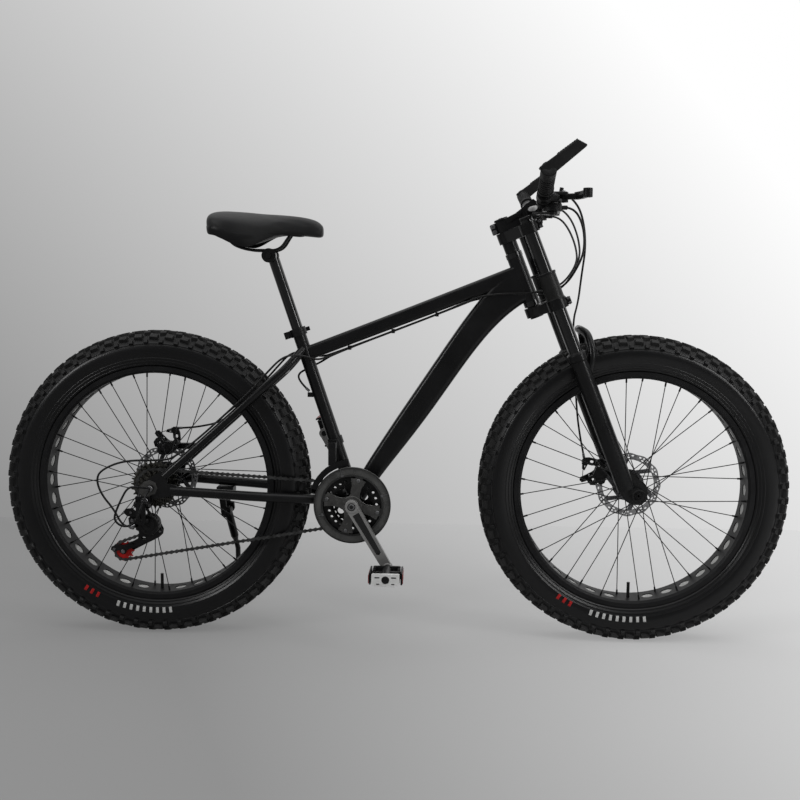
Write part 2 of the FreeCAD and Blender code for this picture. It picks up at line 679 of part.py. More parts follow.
def seatpost():
    bottom, top = 290.0, 612.0
    post = placed(ring(V(0, 0, bottom), V(0, 0, top), SEATPOST_R, 11.3), SEAT)
    head = rod_y(SADDLE_PIVOT[0], SADDLE_PIVOT[1], -17, 17, 15.0)
    post = post.cut(head)
    head = head.cut(rod_y(SADDLE_PIVOT[0], SADDLE_PIVOT[1], -17, 17, 4.2))
    return [union(largest(post), head)]


def saddle_loft(inset, drop, lift):
    wires = []
    for x, half, bottom, top in SADDLE_SECTIONS:
        w, zt, zb = half - inset, top - drop, bottom - lift
        belly = zb + 0.55 * (zt - zb)
        points = [V(x, w * 0.94, zb), V(x, w, belly), V(x, w * 0.72, zt - 0.12 * (zt - zb)), V(x, 0, zt)]
        points += [V(x, -point.y, point.z) for point in reversed(points[:-1])]
        crown = Part.BSplineCurve()
        crown.interpolate(points)
        sill = Part.LineSegment(points[-1], points[0])
        wires.append(Part.Wire([crown.toShape(), sill.toShape()]))
    return Part.makeLoft(wires, True, False)


def saddle():
    cover = saddle_loft(0, 0, 0).cut(saddle_loft(5, 20, 2))
    base = saddle_loft(5.4, 20.5, 1).cut(saddle_loft(9, 26, 4))
    rail = routed_tube([V(-236, -9, 996), V(-254, -16, 972), V(-276, -22, RAIL_Z),
                        V(-352, -22, RAIL_Z), V(-395, -30, 954), V(-408, -34, 1005)], 3.5)
    rail = rail.cut(base)
    rails = both_sides(rail)
    x, z = SADDLE_PIVOT
    grips = []
    for side in (-1, 1):
        y0, y1 = sorted((side * 17.3, side * 29))
        disc = rod_y(x, z, y0, y1, 17).cut(rod_y(x, z, y0, y1, 4.1))
        grips.append(disc.cut(rod(V(x - 30, side * 22, RAIL_Z), V(x + 30, side * 22, RAIL_Z), 3.6)))
    bolt = union(rod_y(x, z, -32, 32, 4.0), hex_nut(x, z, 29.1, 35, 13, 0), hex_nut(x, z, -35, -29.1, 13, 0))
    return largest(cover), [largest(base)] + rails, grips + [bolt]


# Fork and controls, built about the steering axis with +X forward and +Z up

def prism(points, z0, z1):
    corners = [V(x, y, z0) for x, y in points]
    return Part.Face(Part.makePolygon(corners + corners[:1])).extrude(V(0, 0, z1 - z0))


def crown(down0, down1, steerer_boss, leg_boss):
    z0, z1 = -down1, -down0
    leg = V(FORK_LEG_OFFSET, -FORK_LEG_Y, 0)
    across = V(-leg.y, leg.x, 0).normalize()
    arm = prism([(across.x * -17, across.y * -17), (leg.x - across.x * 15, leg.y - across.y * 15),
                 (leg.x + across.x * 15, leg.y + across.y * 15), (across.x * 17, across.y * 17)], z0, z1)
    boss = rod(V(leg.x, leg.y, z0), V(leg.x, leg.y, z1), leg_boss)
    lug = block(leg.x + 12, leg.x + leg_boss + 8, leg.y - 8, leg.y + 8, z0 + 3, z1 - 3)
    sides = [half for part in (arm, boss, lug) for half in both_sides(part)]
    body = union(rod(V(0, 0, z0), V(0, 0, z1), steerer_boss), *sides)
    body = body.cut(rod(V(0, 0, z0), V(0, 0, z1), STEERER_R + FIT))
    bore = rod(V(leg.x, leg.y, z0), V(leg.x, leg.y, z1), STANCHION_R + FIT)
    return body.cut(bore).cut(mirrored(bore))


def fork_crowns():
    upper = crown(UPPER_CROWN_S - 13, UPPER_CROWN_S + 13, 23.0, 22.5)
    lower = crown(LOWER_CROWN_S - 11.5, LOWER_CROWN_S + 11.5, 23.0, 24.0)
    steerer = ring(V(0, 0, -LOWER_CROWN_S - 13), V(0, 0, STEM_TOP + 1), STEERER_R, 11.5)
    spacer = ring(V(0, 0, HEAD_HALF + 12.4), V(0, 0, -UPPER_CROWN_S - 13.1), 17.5, STEERER_R + FIT)
    cap = rod(V(0, 0, -LOWER_CROWN_S - 16), V(0, 0, -LOWER_CROWN_S - 13.1), 16)
    return [placed(solid, STEER) for solid in (upper, lower, steerer, spacer, cap)]


def leg_rod(down0, down1, radius):
    return rod(V(FORK_LEG_OFFSET, -FORK_LEG_Y, -down1), V(FORK_LEG_OFFSET, -FORK_LEG_Y, -down0), radius)


def stanchions():
    top, bottom = UPPER_CROWN_S - 15, 430.0
    tube = leg_rod(top, bottom, STANCHION_R).cut(leg_rod(top, bottom, STANCHION_R - 2.5))
    cap = leg_rod(top - 5, top - 0.1, STANCHION_R - 1)
    return [placed(solid, STEER) for part in (tube, cap) for solid in both_sides(part)]


def stanchion_sleeves():
    sleeve = leg_rod(4, LOWER_CROWN_S - 11.7, 21.0).cut(leg_rod(4, LOWER_CROWN_S - 11.7, STANCHION_R + FIT))
    return [placed(solid, STEER) for solid in both_sides(sleeve)]


def fork_lowers():
    top, foot = LOWER_LEG_TOP, 545.0
    axle_at = STEER.inverse().multVec(V(FRONT_X, 0, TIRE_R))
    ax, az = axle_at.x, axle_at.z
    seal = leg_rod(top - 8, top + 6, LOWER_LEG_R + 2.5)
    leg = union(leg_rod(top, foot, LOWER_LEG_R), seal)
    y0, y1 = -FORK_LEG_Y, -FRONT_DROPOUT_Y
    lug = plate_y([(28, az + 70), (67, az + 70), (ax + 20, az + 24), (ax + 25, az), (ax + 17, az - 19),
                   (ax, az - 26), (ax - 19, az - 18), (30, az + 20)], y0, y1)
    arch = routed_tube([V(60, -84, -258), V(86, -82, -218), V(92, -58, -172), V(84, -30, -160),
                        V(84, 30, -160), V(92, 58, -172), V(86, 82, -218), V(60, 84, -258)], 9.0)
    caliper_tab = placed(block(500, 545, 58.1, 68, 416, 432), STEER.inverse())
    right = union(leg, lug)
    left = union(mirrored(leg), mirrored(lug), caliper_tab)
    arch = arch.cut(right).cut(left)
    bore = leg_rod(top - 60, 512, STANCHION_R + 0.3)
    hole = rod_y(ax, az, -FORK_LEG_Y - 30, FORK_LEG_Y + 30, AXLE_R + 0.1)
    seat = rod_y(ax, az, -FORK_LEG_Y - 30, -FORK_LEG_Y, 13.0)
    for cutter in (bore, hole, seat):
        right = right.cut(cutter)
        left = left.cut(mirrored(cutter))
    return [placed(largest(solid), STEER) for solid in (right, left, arch)]


def bar_axis():
    return STEER.multVec(V(BAR_FORWARD, 0, -BAR_S))


def bar_point(y):
    """A point on the straight right-hand run of the bar, at distance y from the middle."""
    share = (y - BAR_BEND[1]) / (BAR_END_Y - BAR_BEND[1])
    bend, end = V(BAR_BEND[0], -BAR_BEND[1], BAR_BEND[2]), V(BAR_END[0], -BAR_END_Y, BAR_END[1])
    return bend + (end - bend) * share


def stem():
    middle = bar_axis()
    clamp = placed(rod(V(0, 0, 121), V(0, 0, STEM_TOP), 20), STEER)
    side_view = [(0, 121.5), (BAR_FORWARD, 121.5), (BAR_FORWARD + 25, 126), (BAR_FORWARD + 27, 150),
                 (BAR_FORWARD + 16, 168), (19, STEM_TOP - 1), (0, STEM_TOP - 1)]
    arm = placed(plate_y(side_view, -20, 20), STEER)
    holder = rod_y(middle.x, middle.z, -24, 24, 20.5)
    body = union(clamp, arm, holder)
    body = body.cut(placed(rod(V(0, 0, 110), V(0, 0, 170), STEERER_R + FIT), STEER))
    body = body.cut(rod_y(middle.x, middle.z, -30, 30, BAR_R + 1.65))
    split, far = BAR_FORWARD + 0.5, BAR_FORWARD + 40
    back = largest(body.cut(placed(block(split, far, -30, 30, 110, 180), STEER)))
    faceplate = largest(body.common(placed(block(split + 1, far, -30, 30, 110, 180), STEER)))
    top_cap = placed(rod(V(0, 0, STEM_TOP + 1.2), V(0, 0, STEM_TOP + 4), 17), STEER)
    bolts = []
    for y in (-15, 15):
        for z in (-BAR_S - 11, -BAR_S + 12):
            bolt = rod(V(BAR_FORWARD + 20, y, z), V(BAR_FORWARD + 29, y, z), 4)
            bolts.append(placed(bolt, STEER).cut(faceplate))
    return [back, faceplate, top_cap] + [largest(bolt) for bolt in bolts]


def handlebar():
    middle = bar_axis()
    bend, end = bar_point(BAR_BEND[1]), bar_point(BAR_END_Y)
    half = [V(middle.x, -62, middle.z), bend, end]
    points = [V(p.x, p.y, p.z) for p in reversed(half)] + [V(p.x, -p.y, p.z) for p in half]
    tube = routed_tube(points, BAR_R)
    return [union(tube, rod_y(middle.x, middle.z, -32, 32, BAR_R + 1.6))]


def grips():
    sleeve = rod(bar_point(GRIP_INNER_Y), bar_point(BAR_END_Y + 2), 15.2)
    collar = rod(bar_point(GRIP_INNER_Y), bar_point(GRIP_INNER_Y + 6), 18)
    parts = [collar]
    for index in range(7):
        y = GRIP_INNER_Y + 12 + 10 * index
        parts.append(rod(bar_point(y), bar_point(y + 5), 16.6))
    holder = rod(bar_point(BAR_END_Y - 26), bar_point(BAR_END_Y + 1), 16.8)
    horn = plate_y(HORN, -BAR_END_Y - 3, -BAR_END_Y + 23)
    horn = horn.makeFillet(3.0, horn.Edges)
    grip = union(sleeve, holder, horn, *parts)
    grip = grip.cut(rod(bar_point(BAR_BEND[1]), bar_point(BAR_END_Y), BAR_R + FIT))
    return both_sides(largest(grip))


def lever_mounts():
    pivot = V(*LEVER_PIVOT)
    ring_a, ring_b = bar_point(198), bar_point(213)
    pod_a, pod_b = bar_point(168), bar_point(182)
    reach = taper(bar_point(205), V(pivot.x - 3, pivot.y, pivot.z), 11, 9)
    boss = rod(pivot - V(0, 0, 11), pivot + V(0, 0, 11), 10)
    barrel = rod(pivot + V(4, 9, 0), pivot + V(14, 30, 2), 4.5)
    housing = block(342, pivot.x + 8, pivot.y - 11, pivot.y + 11, pivot.z - 9.5, pivot.z + 12)
    housing = housing.makeFillet(3.0, housing.Edges)
    knob = rod(pivot + V(-6, 4, 10), pivot + V(-4, 4, 21), 4.5)
    body = union(rod(ring_a, ring_b, 17), reach, boss, barrel, housing, knob)
    slot = block(pivot.x - 9.5, pivot.x + 60, pivot.y - 60, pivot.y + 9, pivot.z - 5, pivot.z + 5)
    body = body.cut(rod(pivot - V(0, 0, 5), pivot + V(0, 0, 5), 40).common(slot))
    pin = rod(pivot - V(0, 0, 12), pivot + V(0, 0, 12), 2.5)
    body = body.cut(rod(pivot - V(0, 0, 12), pivot + V(0, 0, 12), 2.55))
    pod_axis = V(*POD_CENTRE)
    px, py, pz = POD_CENTRE
    pod = union(rod(pod_a, pod_b, 16), rod(pod_axis, pod_axis + V(0, 0, 17), 21),
                block(px - 18, px + 4, py - 7, py + 7, pz + 2, pz + 30),
                rod(pod_axis + V(14, 8, 9), pod_axis + V(30, 10, 9), 4.5),
                rod(pod_axis - V(0, 0, 9), pod_axis, 4))
    bar = rod(bar_point(150), bar_point(230), BAR_R + FIT)
    solids = [largest(body.cut(bar)), pin, largest(pod.cut(bar))]
    return [copy for solid in solids for copy in both_sides(solid)]


def brake_lever():
    pivot = V(*LEVER_PIVOT)
    barrel = rod(pivot - V(0, 0, 4.6), pivot + V(0, 0, 4.6), 8.5)
    spine = routed_tube([pivot] + [V(*point) for point in LEVER_BLADE], 4.5)
    outline = [(x - 4.5, y) for x, y, z in LEVER_BLADE] + [(x + 4.5, y) for x, y, z in reversed(LEVER_BLADE)]
    blade = prism(outline, pivot.z - 6, pivot.z + 10)
    end_x, end_y = LEVER_BLADE[-1][:2]
    tip = rod(V(end_x, end_y, pivot.z - 9), V(end_x, end_y, pivot.z + 7), 6.0)
    return union(barrel, spine, blade, tip).cut(rod(pivot - V(0, 0, 6), pivot + V(0, 0, 6), 2.7))


def shift_lever():
    axis = V(*POD_CENTRE)
    hub_disc = rod(axis - V(0, 0, 8), axis - V(0, 0, 0.4), 12)
    paddle = prism([(axis.x - 4, axis.y + 10), (axis.x - 4, axis.y - 10), (axis.x - 34, axis.y - 34),
                    (axis.x - 46, axis.y - 26)], axis.z - 8, axis.z - 3)
    return union(hub_disc, paddle).cut(rod(axis - V(0, 0, 9), axis, 4.2))


# Drive train

def crank_axle():
    solids = [rod_y(BB_X, BB_Z, -100, 100, 8.5)]
    for side in (-1, 1):
        y0, y1 = sorted((side * 100.1, side * 106))
        solids.append(rod_y(BB_X, BB_Z, y0, y1, 9.5))
        end = CRANK.multVec(V(CRANK_LENGTH * -side, 0, 0))
        y0, y1 = sorted((side * 92, side * 204))
        solids.append(rod_y(end.x, end.z, y0, y1, 6.5))
    return solids


def crank_arm():
    outer, inner, root = -106.0, -93.0, -84.0
    arm = plate_y([(0, -15), (CRANK_LENGTH, -11.5), (CRANK_LENGTH, 11.5), (0, 15)], outer, inner)
    arm = union(arm, rod_y(0, 0, outer, root, 16), rod_y(CRANK_LENGTH, 0, outer, inner, 12.5))
    arm = arm.cut(rod_y(0, 0, outer, root, 8.55)).cut(rod_y(0, 0, outer, -100.05, 9.6))
    return arm.cut(rod_y(CRANK_LENGTH, 0, outer, inner, 6.55))


def crank_arms():
    right = crank_arm()
    spider_arm = plate_y([(8, -16), (32, -10), (57.5, -12), (57.5, 12), (32, 10), (8, 16)], -88, -78.1)
    arms = [turned_y(spider_arm, SPIDER_ANGLE + 90 * k) for k in range(4)]
    right = union(right, rod_y(0, 0, -88, -78.1, 20), *arms).cut(rod_y(0, 0, -110, -70, 8.55))
    right = right.cut(rod_y(0, 0, -107, -100.05, 9.6))
    left = turned_y(mirrored(crank_arm()), 180)
    return [placed(right, CRANK), placed(left, CRANK)]


def chainrings(phase):
    plates = []
    for index, teeth in enumerate(RING_TEETH):
        bore = (22.0, 46.0, 50.0)[index]
        y = CHAIN_Y - index * RING_STEP
        plates.append(moved(turned_y(sprocket(teeth, bore), -math.degrees(phase)), BB_X, y, BB_Z))
    windows = [turned_y(rod_y(33, 0, -90, 0, 8), SPIDER_ANGLE + 45 + 90 * k) for k in range(4)]
    holes = [turned_y(rod_y(57.5, 0, -90, 0, 3.4), SPIDER_ANGLE + 15 * k) for k in range(24) if k % 6]
    openings = placed(Part.makeCompound(windows + holes), CRANK)
    plates = [plate.cut(openings).Solids[0] for plate in plates]
    bolts = []
    for k in range(4):
        inner = turned_y(rod_y(36, 0, -78, CHAIN_Y - 1, 4), SPIDER_ANGLE + 90 * k)
        outer = turned_y(rod_y(62, 0, -78, CHAIN_Y - RING_STEP - 1, 4), SPIDER_ANGLE + 90 * k)
        for bolt in (inner, outer):
            whole = placed(bolt, CRANK)
            for plate in plates:
                whole = whole.cut(plate)
            bolts.append(largest(whole))
    return plates + bolts


def chain_guard():
    rim_ring = ring_y(0, 0, -84.5, -81.5, 92, 71)
    lip = ring_y(0, 0, -86.5, -84, 92, 88.5)
    tab = plate_y([(58, -8), (74, -10), (74, 10), (58, 8)], -84.5, -81.5)
    tabs = [turned_y(tab, SPIDER_ANGLE + 90 * k) for k in range(4)]
    notch = rod_y(69, 0, -90, -80, 4)
    notches = [turned_y(notch, SPIDER_ANGLE + 22.5 + 45 * k) for k in range(8)]
    body = union(rim_ring, lip, *tabs).cut(Part.makeCompound(notches))
    screws = [turned_y(rod_y(66, 0, -81.4, -78.1, 4), SPIDER_ANGLE + 90 * k) for k in range(4)]
    return [placed(solid, CRANK) for solid in [body] + screws]


def pedal(side):
    """A pedal about its axle, with a tall outer end plate and reflectors standing off its edges."""
    end = CRANK.multVec(V(CRANK_LENGTH * -side, 0, 0))
    inner, outer = PEDAL_INNER_Y, PEDAL_INNER_Y + 95
    half = 29.0
    sleeve = rod_y(0, 0, inner, outer, 11)
    rails = [block(sx * half - 3, sx * half + 3, inner + 4, outer, -10, 10) for sx in (-1, 1)]
    end_plate = plate_y([(-32, 13), (32, 13), (32, -8), (20, -16), (-20, -16), (-32, -8)], outer - 8, outer)
    web = block(-half, half, inner + 42, inner + 52, -7, 7)
    parts = [sleeve, web, end_plate, block(-half, half, inner + 4, inner + 12, -10, 10)] + rails
    for sx in (-1, 1):
        for y in (inner + 34, inner + 64):
            parts.append(block(*sorted((sx * half, sx * (half + 6))), y, y + 6, -4, 4))
    frame = union(*parts).cut(rod_y(0, 0, inner - 1, outer - 2, 6.7))
    solids = [frame]
    for sx in (-1, 1):
        x0, x1 = sorted((sx * (half + 6.05), sx * (half + 10)))
        solids.append(block(x0, x1, inner + 22, outer - 16, -14, 12))
    if side > 0:
        solids = [turned_y(solid, SEAT_ANGLE) for solid in solids]
    solids = [moved(solid, end.x, 0, end.z) for solid in solids]
    return [mirrored(solid) for solid in solids] if side < 0 else solids


def freewheel(phase):
    chained = COG_TEETH.index(CHAIN_COG_TEETH)
    body = ring_y(0, 0, -81, -46, 19, 15.3)
    cogs = []
    for index, teeth in enumerate(COG_TEETH):
        y = CHAIN_Y + (chained - index) * COG_STEP
        cogs.append(moved(turned_y(sprocket(teeth, 18.0), -math.degrees(phase)), 0, y, 0))
    return [moved(union(body, *cogs), REAR_X, 0, TIRE_R)]


def link_plate(y0, y1, end_r, waist):
    rise = end_r * math.sin(math.radians(60))
    inset = end_r * math.cos(math.radians(60))
    a, b = V(inset, y0, rise), V(CHAIN_PITCH - inset, y0, rise)
    c, d = V(CHAIN_PITCH - inset, y0, -rise), V(inset, y0, -rise)
    edges = [Part.Arc(a, V(CHAIN_PITCH / 2, y0, waist), b), Part.Arc(b, V(CHAIN_PITCH + end_r, y0, 0), c),
             Part.Arc(c, V(CHAIN_PITCH / 2, y0, -waist), d), Part.Arc(d, V(-end_r, y0, 0), a)]
    return Part.Face(Part.Wire([edge.toShape() for edge in edges])).extrude(V(0, y1 - y0, 0))


def chain(pins):
    end_r, waist, pin_r, roller_r = 4.2, 2.4, 1.8, 3.8
    outer = [link_plate(2.3, 3.3, end_r, waist), link_plate(-3.3, -2.3, end_r, waist)]
    outer = union(*outer, rod_y(0, 0, -3.6, 3.6, pin_r), rod_y(CHAIN_PITCH, 0, -3.6, 3.6, pin_r))
    inner = [link_plate(1.25, 2.25, end_r, waist), link_plate(-2.25, -1.25, end_r, waist)]
    inner = union(*inner, rod_y(0, 0, -1.3, 1.3, roller_r), rod_y(CHAIN_PITCH, 0, -1.3, 1.3, roller_r))
    for x in (0, CHAIN_PITCH):
        inner = inner.cut(rod_y(x, 0, -3, 3, pin_r + FIT))
    links = []
    for index, (x, z) in enumerate(pins):
        next_x, next_z = pins[(index + 1) % len(pins)]
        angle = math.degrees(math.atan2(next_z - z, next_x - x))
        link = outer if index % 2 else inner
        links.append(placed(link, FreeCAD.Placement(V(x, CHAIN_Y, z), rotation_y(-angle))))
    return links


def gap_phase(pins, centre, teeth):
    """The angle from a sprocket's centre to the chain pin that sits deepest in its teeth."""
    radius = pitch_radius(teeth)
    x, z = min(pins, key=lambda pin: abs(math.dist(pin, centre) - radius))
    return math.atan2(z - centre[1], x - centre[0])


def front_derailleur():
    height = 150.0
    collar = placed(ring(V(0, 0, height - 9), V(0, 0, height + 9), 19, SEAT_TUBE_R + FIT), SEAT)
    x, z = FD_GUIDE
    arm = block(x - 8, x + 8, -40, -14, z - 10, z + 12).cut(seat_rod(SEAT_TUBE_R + FIT, 0, 400))
    guide = rod_y(x, z, -68, -39.9, 3.0)
    clamp = [largest(union(collar, arm, guide))]
    low_r, high_r = 93.0, 107.0
    angles = [math.radians(a) for a in range(96, 161, 8)]
    outline = [(BB_X + low_r * math.cos(a), BB_Z + low_r * math.sin(a)) for a in angles]
    outline += [(BB_X + high_r * math.cos(a), BB_Z + high_r * math.sin(a)) for a in reversed(angles)]
    y0, y1 = CHAIN_Y - 6.5, CHAIN_Y + 6.5
    plates = [plate_y(outline, y0, y0 + 1.3), plate_y(outline, y1 - 1.3, y1)]
    top = [(BB_X + r * math.cos(math.radians(a)), BB_Z + r * math.sin(math.radians(a)))
           for r, a in ((104, 104), (104, 120), (107, 120), (107, 104))]
    tail = [(BB_X + r * math.cos(math.radians(a)), BB_Z + r * math.sin(math.radians(a)))
            for r, a in ((94, 156), (94, 160), (106, 160), (106, 156))]
    carrier = block(x - 9, x + 9, y1 - 12, y1 + 3, BB_Z + 92, z + 9)
    cage = union(*plates, plate_y(top, y0, y1), plate_y(tail, y0, y0 + 1.3), carrier)
    cage = cage.cut(rod_y(x, z, -90, -30, 3.2))
    return clamp, [largest(cage)]


def rear_derailleur(cage_angle, pins):
    hx, hz = HANGER_PIVOT
    bx, by, bz = RD_UPPER_LINK
    px, py, pz = RD_LOWER_LINK
    ux, uz = UPPER_PULLEY
    half, gap = 12.0, 0.3

    def lugs(x, y, z, reach):
        shapes = []
        for side in (-1, 1):
            x0, x1 = sorted((x + side * (half + gap), x + side * (half + 5.5)))
            shapes.append(rod(V(x0, y, z), V(x1, y, z), 6.0))
            shapes.append(block(x0, x1, y, reach, z - 6, z + 6))
        return shapes

    def pin_hole(x, y, z):
        return rod(V(x - 30, y, z), V(x + 30, y, z), 2.6)

    mount = union(block(bx - 17.5, bx + 17.5, -100, -92.2, hz - 16, hz + 11), *lugs(bx, by, bz, -98))
    mount = mount.cut(pin_hole(bx, by, bz)).cut(rod_y(hx, hz, -110, -90, 5.05))
    bolt = union(rod_y(hx, hz, -100, -85, 5.0), rod_y(hx, hz, -103, -100.1, 7))
    link = block(bx - half + 2, bx + half - 2, by - 5, by + 1, pz, bz)
    for x, y, z in (RD_UPPER_LINK, RD_LOWER_LINK):
        barrel = rod(V(x - half, y, z), V(x + half, y, z), 5)
        link = union(link, barrel, rod(V(x - 17, y, z), V(x + 17, y, z), 2.5))
    body = block(bx - 17.5, bx + 17.5, -100, -88, pz - 8, pz + 4)
    housing = rod_y(-581, 285, -100, -74, 23)
    knuckle = union(body, rod_y(ux, uz, -100, -73, 11), housing, *lugs(px, py, pz, -98))
    knuckle = knuckle.cut(pin_hole(px, py, pz)).cut(rod_y(ux, uz, -96, -70, 5.3))
    lower = drive_circles(cage_angle)[1]
    cage = union(plate_y(CAGE_OUTLINE, CHAIN_Y - 8, CHAIN_Y - 6),
                 plate_y(CAGE_OUTLINE, CHAIN_Y + 6, CHAIN_Y + 8),
                 rod_y(ux, uz, -95, CHAIN_Y - 7, 5.0), rod_y(ux, uz, CHAIN_Y - 8, CHAIN_Y + 8, 3),
                 rod_y(lower[0], lower[1], CHAIN_Y - 8, CHAIN_Y + 8, 3))
    wheels = []
    for centre in ((ux, uz), (lower[0], lower[1])):
        wheel = sprocket(PULLEY_TEETH, 3.2)
        boss = ring_y(0, 0, -5, 5, 6, 3.2)
        wheel = turned_y(union(wheel, boss), -math.degrees(gap_phase(pins, centre, PULLEY_TEETH)))
        wheels.append(moved(wheel, centre[0], CHAIN_Y, centre[1]))
    return [mount, bolt], [link], [knuckle], [cage], [wheels[0]], [wheels[1]]


# Brakes and stand

def caliper(rotor_y, arm_y):
    """A caliper about the axle, straddling the rotor on the +X axis, with its arm on the +Y side."""
    reach, half_tall = ROTOR_R - 20, 22.0
    outside = block(reach, ROTOR_R + 18, rotor_y + 2, arm_y, -half_tall, half_tall)
    inside = block(reach, ROTOR_R + 18, rotor_y - 12, rotor_y - 2, -half_tall, half_tall)
    bridge = block(ROTOR_R + 2, ROTOR_R + 18, rotor_y - 12, arm_y, -half_tall, half_tall)
    body = union(outside, inside, bridge)
    for end in (-half_tall, half_tall):
        body = body.cut(block(reach - 1, reach + 9, rotor_y - 20, arm_y + 9, end - 7, end + 7))
    middle = ROTOR_R - 4
    pivot = rod_y(middle, 0, arm_y, arm_y + 8, 4.0)
    bracket = plate_y(STOP_BRACKET, arm_y - 6, arm_y)
    stop = rod(V(116, arm_y + 2, 2), V(CABLE_STOP[0], arm_y + 2, CABLE_STOP[1]), 4.5)
    body = union(body, rod_y(middle, 0, arm_y - 1, arm_y + 1, 14), pivot, bracket, stop)
    arm = union(plate_y(CALIPER_ARM, arm_y + 1.4, arm_y + 5.5), rod_y(middle, 0, arm_y + 1.4, arm_y + 7, 9))
    return body, arm.cut(rod_y(middle, 0, arm_y, arm_y + 9, 4.2))


def kickstand():
    pivot, axis, along = V(*STAND_PIVOT), V(*STAND_AXIS).normalize(), V(*STAND_LEG).normalize()
    hinge = FreeCAD.Placement(pivot, FreeCAD.Rotation(V(0, 1, 0), axis))
    half, gap, cheek, radius = 11.0, 0.4, 5.5, 13.0
    foot = V(*STAND_FOOT)
    collar, knee = pivot + along * 78, pivot + along * 118
    step = taper(collar, collar + along * 12, 10.0, 6.5)
    leg = union(rod(pivot, collar, 10.0), step, rod(collar, knee, 6.5), Part.makeSphere(6.5, knee),
                rod(knee, foot, 6.5))
    pad = block(foot.x - 14, foot.x + 14, foot.y - 12, foot.y + 12, 0, 14)
    leg = union(placed(rod_y(0, 0, -half, half, 10.5), hinge), leg.cut(block(-600, 0, 0, 400, -20, 1)), pad)
    leg = leg.cut(placed(rod_y(0, 0, -30, 30, 4.3), hinge))
    parts = [placed(rod_y(0, 0, -19, 19, 4.0), hinge)]
    for side in (-1, 1):
        y0, y1 = sorted((side * (half + gap), side * (half + gap + cheek)))
        plate = union(rod_y(0, 0, y0, y1, radius), block(-radius, radius, y0, y1, 0, 16),
                      block(-radius, 3, y0, y1, 0, 60))
        parts.append(placed(plate, hinge))
    saddle_plate = block(pivot.x - 22, pivot.x + 20, 60, 101, STAND_TOP - 14, STAND_TOP)
    bracket = union(saddle_plate, *parts).cut(block(-600, 0, 0, 400, STAND_TOP, STAND_TOP + 60))
    return [largest(bracket)], [leg]


def cable(points):
    return routed_tube([V(*point) for point in points], CABLE_R)


def save(name, solids):
    shape = solids[0] if len(solids) == 1 else Part.makeCompound(solids)
    shape.exportStep("parts/" + name + ".step")


def build():
    os.makedirs("parts", exist_ok=True)
    save("main_frame", main_frame())
    save("rear_triangle", rear_triangle())
    save("headset", headset())
    save("bottom_bracket", bottom_bracket())
    save("seat_clamp", seat_clamp())
    save("seat_clamp_lever", seat_clamp_lever())
    save("seatpost", seatpost())
    cover, base, clamp = saddle()
    save("saddle_cover", [cover])
    save("saddle_base", base)
    save("saddle_clamp", clamp)
    save("fork_crowns", fork_crowns())
    save("stanchions", stanchions())
    save("stanchion_sleeves", stanchion_sleeves())
    save("fork_lowers", fork_lowers())
    save("stem", stem())
    save("handlebar", handlebar())
    save("grips", grips())
    save("lever_mounts", lever_mounts())
    save("right_brake_lever", [brake_lever()])
    save("left_brake_lever", [mirrored(brake_lever())])
    save("right_shift_lever", [shift_lever()])
    save("left_shift_lever", [mirrored(shift_lever())])
    wheel_set("front", FRONT_X, -40, 34, 66, -66, 17, 48)
    wheel_set("rear", REAR_X, -36, 44, 80, -64, 15, 60)
    save("front_axle", [moved(s, FRONT_X, 0, TIRE_R) for s in axle(96, FORK_LEG_Y, 8)])
    save("rear_axle", [moved(s, REAR_X, 0, TIRE_R) for s in axle(104, REAR_DROPOUT_Y + 7, 8)])
    cage_angle, pins = close_chain()
    save("chain", chain(pins))
    save("crank_axle", crank_axle())
    save("crank_arms", crank_arms())
    save("chainrings", chainrings(gap_phase(pins, (BB_X, BB_Z), CHAIN_RING_TEETH)))
    save("chain_guard", chain_guard())
    save("right_pedal", pedal(-1))
    save("left_pedal", pedal(1))
    save("freewheel", freewheel(gap_phase(pins, (REAR_X, TIRE_R), CHAIN_COG_TEETH)))
    clamp, cage = front_derailleur()
    save("front_derailleur_clamp", clamp)
    save("front_derailleur_cage", cage)
    names = ("mount", "link", "knuckle", "cage")
    pieces = rear_derailleur(cage_angle, pins)
    for name, solids in zip(names, pieces):
        save("rear_derailleur_" + name, solids)
    save("upper_pulley", pieces[4])
    save("lower_pulley", pieces[5])
    brakes = (("front", FRONT_X, 48, 58, 160), ("rear", REAR_X, 60, 74, 88))
    for name, x, y, arm_y, angle in brakes:
        body, arm = caliper(y, arm_y)
        save(name + "_caliper", [moved(turned_y(body, -angle), x, 0, TIRE_R)])
        save(name + "_caliper_arm", [moved(turned_y(arm, -angle), x, 0, TIRE_R)])
    bracket, leg = kickstand()
    save("kickstand_bracket", bracket)
    save("kickstand_leg", leg)
    save("rear_cables", [cable(path) for path in REAR_CABLES])
    save("front_brake_cable", [cable(FRONT_BRAKE_CABLE)])


TIRE = tire()
build()
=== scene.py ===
"""Fat tire bicycle: the finish and the soft and moulded pieces around its fixed frame, in metres."""
import bmesh
import bpy
import math
from mathutils import Matrix, Vector


